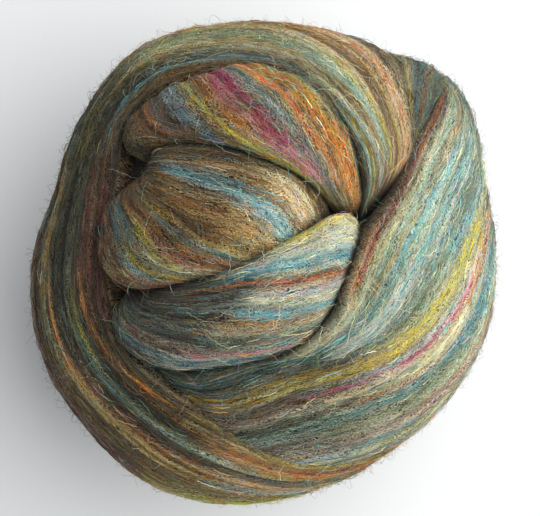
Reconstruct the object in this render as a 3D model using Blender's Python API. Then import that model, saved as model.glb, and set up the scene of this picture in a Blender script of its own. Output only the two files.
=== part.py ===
"""Wool roving: one long length of combed top wound into a ball, resting on a small flat spot.

The ball is one solid. A buried core carries wraps, each a band of fibres laid over the ball.
A place on the ball is a bearing, turned about +Z from +X, and a drop, the angle down from the top.
A rise is a height above the core's surface. Sizes are in metres and angles in degrees.
"""

import math
from collections import namedtuple

import bpy
import numpy as np

NAME = "roving_ball"
COLLECTION = "wool_roving"

# The core that the wraps lie on, and the height of its centre over the surface below.
CORE_RADII = np.array([0.066, 0.068, 0.056])
CORE_CENTRE = np.array([0.0, 0.0, 0.060])
CORE_SEGMENTS = 32
CORE_RINGS = 18
CORE_RISE = -0.007

# Wraps: how deep each reaches into the core, and how its cross-section is drawn.
WRAP_DEPTH = 0.018
TOP_STEPS = 14
UNDERSIDE = (0.99, 0.75, 0.5, 0.25, 0.01)
MILLIMETRE = 0.001

# A side of the ball that was wound fuller or tighter than the rest.
Swell = namedtuple("Swell", "bearing drop bearing_spread drop_spread rise")
SWELLS = (
    Swell(42, 84, 17, 30, 11 * MILLIMETRE),
    Swell(120, 84, 18, 30, 3.5 * MILLIMETRE),
    Swell(163, 84, 13, 28, -3.5 * MILLIMETRE),
    Swell(206, 86, 18, 30, 2.5 * MILLIMETRE),
    Swell(243, 86, 18, 30, 3.0 * MILLIMETRE),
    Swell(283, 86, 13, 30, -1.5 * MILLIMETRE),
    Swell(345, 84, 14, 30, 1.2 * MILLIMETRE),
)

# One section of a wrap: (bearing, drop) at its left side, middle and right side, seen along
# the way that it was wound, then the rises of those three in millimetres.
Section = namedtuple("Section", "left middle right left_rise crown right_rise")

# The fold that turns over behind the other two, its open end to the right.
UPPER_FOLD = (
    Section((130, 70), (112, 66), (98, 70), -12, -4, -12),
    Section((139, 66), (106, 55), (91, 65), -6, 4, -5),
    Section((142, 58), (100, 42), (84, 60), -4, 7.5, -3),
    Section((140, 48), (94, 36), (78, 55), -3, 9.5, 0),
    Section((130, 40), (87, 30), (70, 50), -2, 10, 1),
    Section((115, 33), (76, 26), (61, 44), -1, 9.5, 1),
    Section((94, 26), (64, 24), (50, 39), -1, 8, 0),
    Section((68, 24), (48, 23), (35, 34), -4, 4, -3),
    Section((37, 25), (30, 26), (23, 37), -12, -6, -12),
)

# The round fold between them.
MIDDLE_FOLD = (
    Section((152, 54), (146, 48), (140, 49), -10, -6, -10),
    Section((163, 53), (148, 35), (131, 46), -4, 5, -4),
    Section((171, 51), (147, 23), (119, 41), -3.5, 8.5, -4),
    Section((180, 49), (143, 15), (104, 35), -3, 10, -4),
    Section((188, 43), (136, 10), (87, 30), -3, 10.5, -4),
    Section((193, 34), (119, 6), (70, 28), -3, 9.5, -4),
    Section((195, 24), (70, 3), (52, 26), -5, 5.5, -5),
    Section((204, 17), (11, 5), (35, 24), -8, -1, -8),
    Section((225, 12), (350, 8), (17, 23), -12, -6, -12),
)

# The fold nearest the lower side, which laps over the end of the round one.
LOWER_FOLD = (
    Section((192, 48), (190, 44), (188, 41), -10, -8, -10),
    Section((199, 50), (200, 32), (188, 26), -5, 3, -5),
    Section((207, 50), (212, 21), (185, 12), -4, 7.5, -2),
    Section((216, 46), (229, 14), (154, 4), -3, 9, 0),
    Section((228, 40), (255, 11), (47, 6), -3, 9.5, 1.5),
    Section((243, 31.5), (290, 11), (35, 14), -3, 8.5, 1.5),
    Section((261, 27.5), (319, 14), (33, 21), -4, 7.5, 1),
    Section((283, 26), (337, 19), (26, 27), -5, 4, -2),
    Section((305, 30), (345, 25), (14, 33), -12, -6, -12),
)

# The wide band that comes up over the right side and sweeps round the lower side.
RIGHT_BAND = (
    Section((70, 108), (58, 118), (44, 134), -12, -6, -12),
    Section((56, 92), (43, 100), (30, 128), 1, 6, -2),
    Section((44, 79), (30, 88), (18, 124), 1, 8, 6.5),
    Section((37, 54), (22, 87), (6, 119), 2.5, 8.5, 6.5),
    Section((27, 39), (12, 70), (350, 113), 4, 9, 6.5),
    Section((13, 26.5), (359, 59), (334, 109), 5.5, 9, 6.5),
    Section((348, 21.5), (345, 52), (318, 106), 5.5, 9, 6.5),
    Section((320, 23), (329, 46), (302, 104), 4.5, 8, 5),
    Section((284, 24), (310, 40), (286, 102), 2, 6.5, 0),
    Section((251, 28), (286, 37), (270, 100), -3, 5, -3),
    Section((229, 41), (256, 45), (250, 98), -4, 2.5, -5),
    Section((208, 56), (230, 58), (230, 98), -12, -8, -12),
)

# The band that runs over the upper and left sides and ends on top of the right one.
OVER_BAND = (
    Section((18, 31), (19, 32), (20, 38), -12, -9, -12),
    Section((38, 33), (36, 39), (33, 53), 0, 4, -2),
    Section((57, 40), (52, 46), (46, 66), 1, 6, 1),
    Section((72, 49), (68, 56), (62, 90), -1, 7, 6.5),
    Section((86, 56), (84, 66), (82, 112), -2, 8, 6.5),
    Section((104, 59), (102, 74), (104, 118), -3, 8, 6.5),
    Section((120, 64), (120, 77), (125, 121), -3, 8, 6.5),
    Section((136, 61), (137, 77), (144, 122), -2, 7.5, 6.5),
    Section((152, 52), (155, 72), (162, 122), -3, 7, 6.5),
    Section((173, 47), (175, 67), (182, 120), -4, 7, 6.5),
    Section((195, 47), (194, 67), (202, 117), -4, 7, 6.5),
    Section((215, 46), (215, 65), (222, 115), -4, 7.5, 6.5),
    Section((236, 44), (238, 63), (243, 113), 1, 8, 6.5),
    Section((260, 45), (263, 68), (264, 113), 5, 9, 6.5),
    Section((276, 55), (282, 79), (282, 115), 7, 9.5, 6.5),
    Section((293, 71), (298, 92), (298, 119), 7, 8.5, 5),
    Section((310, 84), (314, 102), (314, 123), 5, 5.5, 0),
    Section((325, 98), (328, 111), (330, 127), -12, -8, -12),
)

# The narrow wrap that shows between the ends of the two bands, fanning out down the far side.
CORNER_WRAP = (
    Section((78, 118), (60, 122), (42, 124), -12, -2, -12),
    Section((68, 94), (55, 94), (42, 96), 0, 7, 0),
    Section((58, 70), (50, 68), (42, 73), 0, 6, 0),
    Section((46, 57), (42, 55), (38, 60), -2, 3.5, -2),
    Section((34, 50), (34, 47), (34, 53), -12, -8, -12),
)

# Wraps under the ball: arcs of circles about a level axis. A shift is the angle from the
# circle through the foot of the ball, and start and end are the arc's angles from the foot.
UnderWrap = namedtuple("UnderWrap", "axis_bearing shift half_width start end crown")
UNDER_WRAPS = (
    UnderWrap(118, -53, 17, -68, 70, 6.5),
    UnderWrap(118, -24, 17, -84, 88, 7.5),
    UnderWrap(118, 5, 17, -90, 90, 6.5),
    UnderWrap(118, 33, 16, -84, 82, 7.5),
    UnderWrap(118, 59, 16, -66, 64, 6.5),
    UnderWrap(35, -44, 15, -72, 60, 9.0),
    UnderWrap(62, 40, 15, -62, 72, 9.0),
)
UNDER_SECTIONS = 17
UNDER_RIM_RISE = -1.0
UNDER_TUCKED_RISE = -12.0
UNDER_TUCK_SPREAD = 0.095

# How the crown rises between a wrap's sides: a higher power gives a flatter back.
FOLD_POWER = 2.6
BAND_POWER = 3.6
WRAP_SECTIONS = {
    "upper_fold": 22,
    "middle_fold": 22,
    "lower_fold": 22,
    "right_band": 28,
    "over_band": 38,
    "corner_wrap": 12,
}

# The block that trims the foot of the ball to its flat spot.
BLOCK_SIZE = 0.2

WOOL_COLOUR = (0.17, 0.15, 0.10, 1.0)
WOOL_ROUGHNESS = 0.9


def direction(bearing, drop):
    """Unit vector towards a bearing and drop."""
    turn = math.radians(bearing)
    lean = math.radians(drop)
    return np.array([math.sin(lean) * math.cos(turn), math.sin(lean) * math.sin(turn), math.cos(lean)])


def swell(places):
    """Extra rise of the ball's surface at each unit vector."""
    bearings = np.degrees(np.arctan2(places[..., 1], places[..., 0]))
    drops = np.degrees(np.arccos(np.clip(places[..., 2], -1, 1)))
    rise = np.zeros(bearings.shape)
    for part in SWELLS:
        turn = (bearings - part.bearing + 180) % 360 - 180
        lean = drops - part.drop
        rise += part.rise * np.exp(-((turn / part.bearing_spread) ** 2) - (lean / part.drop_spread) ** 2)
    return rise


def on_ball(places, rises):
    """Points at the given rises over the core, at each unit vector."""
    outwards = places / CORE_RADII
    outwards = outwards / np.linalg.norm(outwards, axis=-1, keepdims=True)
    return CORE_CENTRE + places * CORE_RADII + outwards * (rises + swell(places))[..., None]


def smooth_through(rows, count):
    """A Catmull-Rom curve through the rows, read at count even steps."""
    rows = np.asarray(rows, float)
    ends = np.vstack([2 * rows[0] - rows[1], rows, 2 * rows[-1] - rows[-2]])
    steps = np.linspace(0, len(rows) - 1, count)
    index = np.minimum(steps.astype(int), len(rows) - 2)
    part = (steps - index)[:, None]
    before, here, after, beyond = (ends[index + shift] for shift in range(4))
    return 0.5 * (
        2 * here
        + (after - before) * part
        + (2 * before - 5 * here + 4 * after - beyond) * part**2
        + (3 * here - before - 3 * after + beyond) * part**3
    )


def section_loops(left, middle, right, rises, power):
    """Closed loops of points, one for each row of the three guide lines.

    Across a section the place follows the parabola through its left, middle and right, and the
    rise goes straight from side to side plus a rounded crown.
    """
    across = np.concatenate([np.linspace(0, 1, TOP_STEPS), UNDERSIDE])
    to_left = (1 - across) * (1 - 2 * across)
    to_middle = 4 * across * (1 - across)
    to_right = across * (2 * across - 1)
    places = (
        left[:, None] * to_left[None, :, None]
        + middle[:, None] * to_middle[None, :, None]
        + right[:, None] * to_right[None, :, None]
    )
    places /= np.linalg.norm(places, axis=2, keepdims=True)
    left_rise, crown, right_rise = (rises[:, [column]] for column in range(3))
    bow = np.sqrt(1 - np.abs(2 * across - 1) ** power)
    heights = left_rise * (1 - across) + right_rise * across
    heights = heights + (crown - (left_rise + right_rise) / 2) * bow
    heights[:, TOP_STEPS:] = -WRAP_DEPTH / MILLIMETRE
    return on_ball(places, heights * MILLIMETRE)


def loft(name, loops, collection):
    """A closed mesh through the loops, capped at both ends."""
    sections, around = loops.shape[:2]
    grid = np.arange(sections * around).reshape(sections, around)
    beside = np.roll(grid, -1, axis=1)
    quads = np.stack([grid[:-1], beside[:-1], beside[1:], grid[1:]], axis=-1).reshape(-1, 4)
    faces = [tuple(quad) for quad in quads.tolist()]
    faces.append(tuple(grid[0, ::-1].tolist()))
    faces.append(tuple(grid[-1].tolist()))
    mesh = bpy.data.meshes.new(name)
    mesh.from_pydata(loops.reshape(-1, 3).tolist(), [], faces)
    turn_outwards(mesh)
    obj = bpy.data.objects.new(name, mesh)
    collection.objects.link(obj)
    obj.hide_render = True
    obj.display_type = "WIRE"
    return obj


def turn_outwards(mesh):
    """Turn every face of a closed mesh if its volume comes out negative."""
    mesh.calc_loop_triangles()
    corners = np.array([[mesh.vertices[i].co[:] for i in triangle.vertices] for triangle in mesh.loop_triangles])
    volume = np.einsum("ij,ij->i", corners[:, 0], np.cross(corners[:, 1], corners[:, 2])).sum()
    if volume < 0:
        mesh.flip_normals()


def table_wrap(name, sections, power, collection):
    """A wrap over the sections of a table."""
    count = WRAP_SECTIONS[name]
    left = smooth_through([direction(*row.left) for row in sections], count)
    middle = smooth_through([direction(*row.middle) for row in sections], count)
    right = smooth_through([direction(*row.right) for row in sections], count)
    rises = smooth_through([(row.left_rise, row.crown, row.right_rise) for row in sections], count)
    return loft(name, section_loops(left, middle, right, rises, power), collection)


def under_wrap(name, wrap, collection):
    """A wrap that crosses the foot of the ball, with both ends tucked in."""
    axis = direction(wrap.axis_bearing, 90)
    side = direction(wrap.axis_bearing + 90, 90)
    foot = direction(0, 180)
    along = np.radians(np.linspace(wrap.start, wrap.end, UNDER_SECTIONS))[:, None]
    circle = np.cos(along) * foot + np.sin(along) * side
    guides = []
    for shift in (wrap.shift - wrap.half_width, wrap.shift, wrap.shift + wrap.half_width):
        guides.append(math.cos(math.radians(shift)) * circle + math.sin(math.radians(shift)) * axis)
    way = np.linspace(0, 1, UNDER_SECTIONS)
    tucked = np.exp(-way / UNDER_TUCK_SPREAD) + np.exp((way - 1) / UNDER_TUCK_SPREAD)
    rim = UNDER_RIM_RISE + (UNDER_TUCKED_RISE - UNDER_RIM_RISE) * tucked
    crown = wrap.crown + (UNDER_TUCKED_RISE - wrap.crown) * tucked
    rises = np.stack([rim, crown, rim], axis=1)
    return loft(name, section_loops(*guides, rises, BAND_POWER), collection)


def wool_material():
    """Matt heathered wool."""
    material = bpy.data.materials.new("combed_wool")
    material.use_nodes = True
    shader = material.node_tree.nodes["Principled BSDF"]
    shader.inputs["Base Color"].default_value = WOOL_COLOUR
    shader.inputs["Roughness"].default_value = WOOL_ROUGHNESS
    shader.inputs["Metallic"].default_value = 0.0
    return material


def core_object(collection):
    """The closed core, a sphere drawn out to the ball's proportions with its swells."""
    bpy.ops.mesh.primitive_uv_sphere_add(segments=CORE_SEGMENTS, ring_count=CORE_RINGS, radius=1)
    core = bpy.context.active_object
    core.name = NAME
    core.data.name = NAME
    places = np.empty(len(core.data.vertices) * 3)
    core.data.vertices.foreach_get("co", places)
    places = places.reshape(-1, 3)
    places /= np.linalg.norm(places, axis=1, keepdims=True)
    core.data.vertices.foreach_set("co", on_ball(places, np.full(len(places), CORE_RISE)).ravel())
    core.data.update()
    for owner in list(core.users_collection):
        owner.objects.unlink(core)
    collection.objects.link(core)
    return core


def floor_block(collection):
    """The block below the ball whose top leaves the flat spot."""
    bpy.ops.mesh.primitive_cube_add(size=BLOCK_SIZE, location=(0, 0, -BLOCK_SIZE / 2))
    block = bpy.context.active_object
    block.name = "floor_block"
    for owner in list(block.users_collection):
        owner.objects.unlink(block)
    collection.objects.link(block)
    block.hide_render = True
    block.display_type = "WIRE"
    return block


def combine(target, other, operation):
    """Join or cut the target by another closed object.

    The wraps' sides nearly coincide where they nest, and there the exact solver loses the ball.
    """
    boolean = target.modifiers.new(f"{operation.lower()}_{other.name}", "BOOLEAN")
    boolean.operation = operation
    boolean.solver = "MANIFOLD"
    boolean.object = other


def main():
    for old in list(bpy.data.objects):
        bpy.data.objects.remove(old, do_unlink=True)
    parts = bpy.data.collections.new(COLLECTION)
    helpers = bpy.data.collections.new("helpers")
    for collection in (parts, helpers):
        bpy.context.scene.collection.children.link(collection)
    ball = core_object(parts)
    wraps = [
        table_wrap("middle_fold", MIDDLE_FOLD, FOLD_POWER, helpers),
        table_wrap("upper_fold", UPPER_FOLD, FOLD_POWER, helpers),
        table_wrap("lower_fold", LOWER_FOLD, FOLD_POWER, helpers),
        table_wrap("right_band", RIGHT_BAND, BAND_POWER, helpers),
        table_wrap("over_band", OVER_BAND, BAND_POWER, helpers),
        table_wrap("corner_wrap", CORNER_WRAP, FOLD_POWER, helpers),
    ]
    for index, wrap in enumerate(UNDER_WRAPS):
        wraps.append(under_wrap(f"under_wrap_{index + 1}", wrap, helpers))
    for wrap in wraps:
        combine(ball, wrap, "UNION")
    combine(ball, floor_block(helpers), "DIFFERENCE")
    ball.data.materials.append(wool_material())
    ball.data.shade_smooth()


main()
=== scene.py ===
"""Wool roving ball: combed top in many dyes, wound into a ball that rests on a small flat spot.

Laid out as a Blender add-on and run as a script. A place on the ball is a bearing, turned about +Z
from +X, and a drop, the angle down from the top. A rise is a height above the core's surface.
Each wrap has its own two coordinates: `along`, 0 to 1 the way it was wound, and `across`, 0 to 1
from its left side to its right. Sizes are in metres and angles in degrees unless a name says more.
"""

import math
from collections import namedtuple
from functools import lru_cache

import bpy
import numpy as np
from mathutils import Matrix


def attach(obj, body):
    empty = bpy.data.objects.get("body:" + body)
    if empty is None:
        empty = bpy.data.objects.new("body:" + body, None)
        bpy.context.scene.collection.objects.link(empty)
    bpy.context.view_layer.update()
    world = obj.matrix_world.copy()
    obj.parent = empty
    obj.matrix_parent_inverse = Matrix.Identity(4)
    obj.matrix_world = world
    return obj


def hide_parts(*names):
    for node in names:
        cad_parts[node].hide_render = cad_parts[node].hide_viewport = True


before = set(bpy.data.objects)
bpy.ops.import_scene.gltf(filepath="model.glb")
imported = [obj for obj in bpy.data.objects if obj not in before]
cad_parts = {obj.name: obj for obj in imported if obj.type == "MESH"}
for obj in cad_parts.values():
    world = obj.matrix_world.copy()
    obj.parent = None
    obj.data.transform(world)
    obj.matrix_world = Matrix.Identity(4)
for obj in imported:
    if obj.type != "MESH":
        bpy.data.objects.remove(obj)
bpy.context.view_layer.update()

bl_info = {
    "name": "Wool Roving Ball",
    "version": (1, 0, 0),
    "blender": (4, 5, 0),
    "location": "3D View > Sidebar > Wool Ball",
    "description": "Combed top in many dyes, wound into a ball",
    "category": "Object",
}

NODE = "roving_ball"
BODY = "root"
MM = 0.001

# The core that the wraps lie on, the same as the solid's.
CORE_RADII = np.array([0.066, 0.068, 0.056])
CORE_CENTRE = np.array([0.0, 0.0, 0.060])

# Rises of the inner turns and of the wraps' undersides, and the places across of an underside's rows.
CORE_RISE = -7 * MM
WRAP_DEPTH = -18 * MM
UNDERSIDE = (0.96, 0.75, 0.5, 0.25, 0.04)

# How squarely the crowns of the folds and bands fall off, and the height over which wool eases on to
# the floor.
FOLD_POWER = 2.6
BAND_POWER = 3.6
FLOOR_EASE = 0.5 * MM

# A side of the ball that was wound fuller or tighter than the rest.
Swell = namedtuple("Swell", "bearing drop bearing_spread drop_spread rise")
SWELLS = (
    Swell(42, 84, 17, 30, 11 * MM),
    Swell(120, 84, 18, 30, 3.5 * MM),
    Swell(163, 84, 13, 28, -3.5 * MM),
    Swell(206, 86, 18, 30, 2.5 * MM),
    Swell(243, 86, 18, 30, 3.0 * MM),
    Swell(283, 86, 13, 30, -1.5 * MM),
    Swell(345, 84, 14, 30, 1.2 * MM),
)

# The wraps that show, a section to a line from where each was begun: the bearing and drop of its left
# side, its middle and its right side, then the rises of those three in millimetres.
SECTIONS = {
    "upper_fold": """
        130 70, 112 66, 98 70, -12 -4 -12
        139 66, 106 55, 91 65, -6 4 -5
        142 58, 100 42, 84 60, -4 7.5 -3
        140 48, 94 36, 78 55, -3 9.5 0
        130 40, 87 30, 70 50, -2 10 1
        115 33, 76 26, 61 44, -1 9.5 1
        94 26, 64 24, 50 39, -1 8 0
        68 24, 48 23, 35 34, -4 4 -3
        37 25, 30 26, 23 37, -12 -6 -12
    """,
    "middle_fold": """
        152 54, 146 48, 140 49, -10 -6 -10
        163 53, 148 35, 131 46, -4 5 -4
        171 51, 147 23, 119 41, -3.5 8.5 -4
        180 49, 143 15, 104 35, -3 10 -4
        188 43, 136 10, 87 30, -3 10.5 -4
        193 34, 119 6, 70 28, -3 9.5 -4
        195 24, 70 3, 52 26, -5 5.5 -5
        204 17, 11 5, 35 24, -8 -1 -8
        225 12, 350 8, 17 23, -12 -6 -12
    """,
    "lower_fold": """
        192 48, 190 44, 188 41, -10 -8 -10
        199 50, 200 32, 188 26, -5 3 -5
        207 50, 212 21, 185 12, -4 7.5 -2
        216 46, 229 14, 154 4, -3 9 0
        228 40, 255 11, 47 6, -3 9.5 1.5
        243 31.5, 290 11, 35 14, -3 8.5 1.5
        261 27.5, 319 14, 33 21, -4 7.5 1
        283 26, 337 19, 26 27, -5 4 -2
        305 30, 345 25, 14 33, -12 -6 -12
    """,
    "corner_wrap": """
        78 118, 60 122, 42 124, -12 -2 -12
        68 94, 55 94, 42 96, 0 7 0
        58 70, 50 68, 42 73, 0 6 0
        46 57, 42 55, 38 60, -2 3.5 -2
        34 50, 34 47, 34 53, -12 -8 -12
    """,
    "right_band": """
        70 108, 58 118, 44 134, -12 -6 -12
        56 92, 43 100, 30 128, 1 6 -2
        44 79, 30 88, 18 124, 1 8 6.5
        37 54, 22 87, 6 119, 2.5 8.5 6.5
        27 39, 12 70, 350 113, 4 9 6.5
        13 26.5, 359 59, 334 109, 5.5 9 6.5
        348 21.5, 345 52, 318 106, 5.5 9 6.5
        320 23, 329 46, 302 104, 4.5 8 5
        284 24, 310 40, 286 102, 2 6.5 0
        251 28, 286 37, 270 100, -3 5 -3
        229 41, 256 45, 250 98, -4 2.5 -5
        208 56, 230 58, 230 98, -12 -8 -12
    """,
    "over_band": """
        18 31, 19 32, 20 38, -12 -9 -12
        38 33, 36 39, 33 53, 0 4 -2
        57 40, 52 46, 46 66, 1 6 1
        72 49, 68 56, 62 90, -1 7 6.5
        86 56, 84 66, 82 112, -2 8 6.5
        104 59, 102 74, 104 118, -3 8 6.5
        120 64, 120 77, 125 121, -3 8 6.5
        136 61, 137 77, 144 122, -2 7.5 6.5
        152 52, 155 72, 162 122, -3 7 6.5
        173 47, 175 67, 182 120, -4 7 6.5
        195 47, 194 67, 202 117, -4 7 6.5
        215 46, 215 65, 222 115, -4 7.5 6.5
        236 44, 238 63, 243 113, -4 8 6.5
        260 45, 263 68, 264 113, -3 9 6.5
        276 55, 282 79, 282 115, -1 9.5 6.5
        293 71, 298 92, 298 119, 1 8.5 5
        310 84, 314 102, 314 123, 4 5.5 0
        325 98, 328 111, 330 127, -12 -8 -12
    """,
}

# How squarely each of them falls off, and its seed.
MAKES = {
    "upper_fold": (FOLD_POWER, 11),
    "middle_fold": (FOLD_POWER, 23),
    "lower_fold": (FOLD_POWER, 37),
    "corner_wrap": (FOLD_POWER, 41),
    "right_band": (BAND_POWER, 53),
    "over_band": (BAND_POWER, 67),
}

# Wraps under the ball: arcs of circles about a level axis, tucked in at both ends.
UnderWrap = namedtuple("UnderWrap", "axis_bearing shift half_width start end crown")
UNDER_WRAPS = (
    UnderWrap(118, -53, 17, -68, 70, 6.5),
    UnderWrap(118, -24, 17, -84, 88, 7.5),
    UnderWrap(118, 5, 17, -90, 90, 6.5),
    UnderWrap(118, 33, 16, -84, 82, 7.5),
    UnderWrap(118, 59, 16, -66, 64, 6.5),
    UnderWrap(35, -44, 15, -72, 60, 9.0),
    UnderWrap(62, 40, 15, -62, 72, 9.0),
)

# Sections of a wrap under the ball, the rises in millimetres of its rims and of its tucked ends, and
# how far the tuck reaches as a share of its length.
UNDER_SECTIONS = 17
UNDER_RIM_RISE = -1.0
UNDER_TUCKED_RISE = -12.0
UNDER_TUCK_SPREAD = 0.095

# The dyes, as the colour of a lock in even light.
DYES = {
    "teal": (0.19, 0.43, 0.44),
    "deep_teal": (0.09, 0.22, 0.22),
    "turquoise": (0.43, 0.66, 0.68),
    "blue": (0.26, 0.47, 0.54),
    "slate": (0.27, 0.34, 0.34),
    "mint": (0.60, 0.73, 0.61),
    "sage": (0.50, 0.57, 0.42),
    "moss": (0.17, 0.21, 0.13),
    "olive": (0.45, 0.42, 0.17),
    "lime": (0.70, 0.72, 0.32),
    "yellow": (0.82, 0.74, 0.38),
    "mustard": (0.70, 0.57, 0.20),
    "orange": (0.84, 0.47, 0.18),
    "coral": (0.80, 0.42, 0.29),
    "peach": (0.80, 0.63, 0.46),
    "rust": (0.60, 0.33, 0.18),
    "tan": (0.61, 0.47, 0.29),
    "brown": (0.38, 0.26, 0.15),
    "black_brown": (0.13, 0.10, 0.06),
    "maroon": (0.38, 0.15, 0.16),
    "magenta": (0.64, 0.19, 0.34),
    "pink": (0.78, 0.45, 0.49),
    "mauve": (0.48, 0.32, 0.28),
    "lilac": (0.66, 0.58, 0.64),
    "cream": (0.86, 0.83, 0.65),
    "pale_grey": (0.74, 0.76, 0.68),
}
DYE_NAMES = tuple(DYES)

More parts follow.
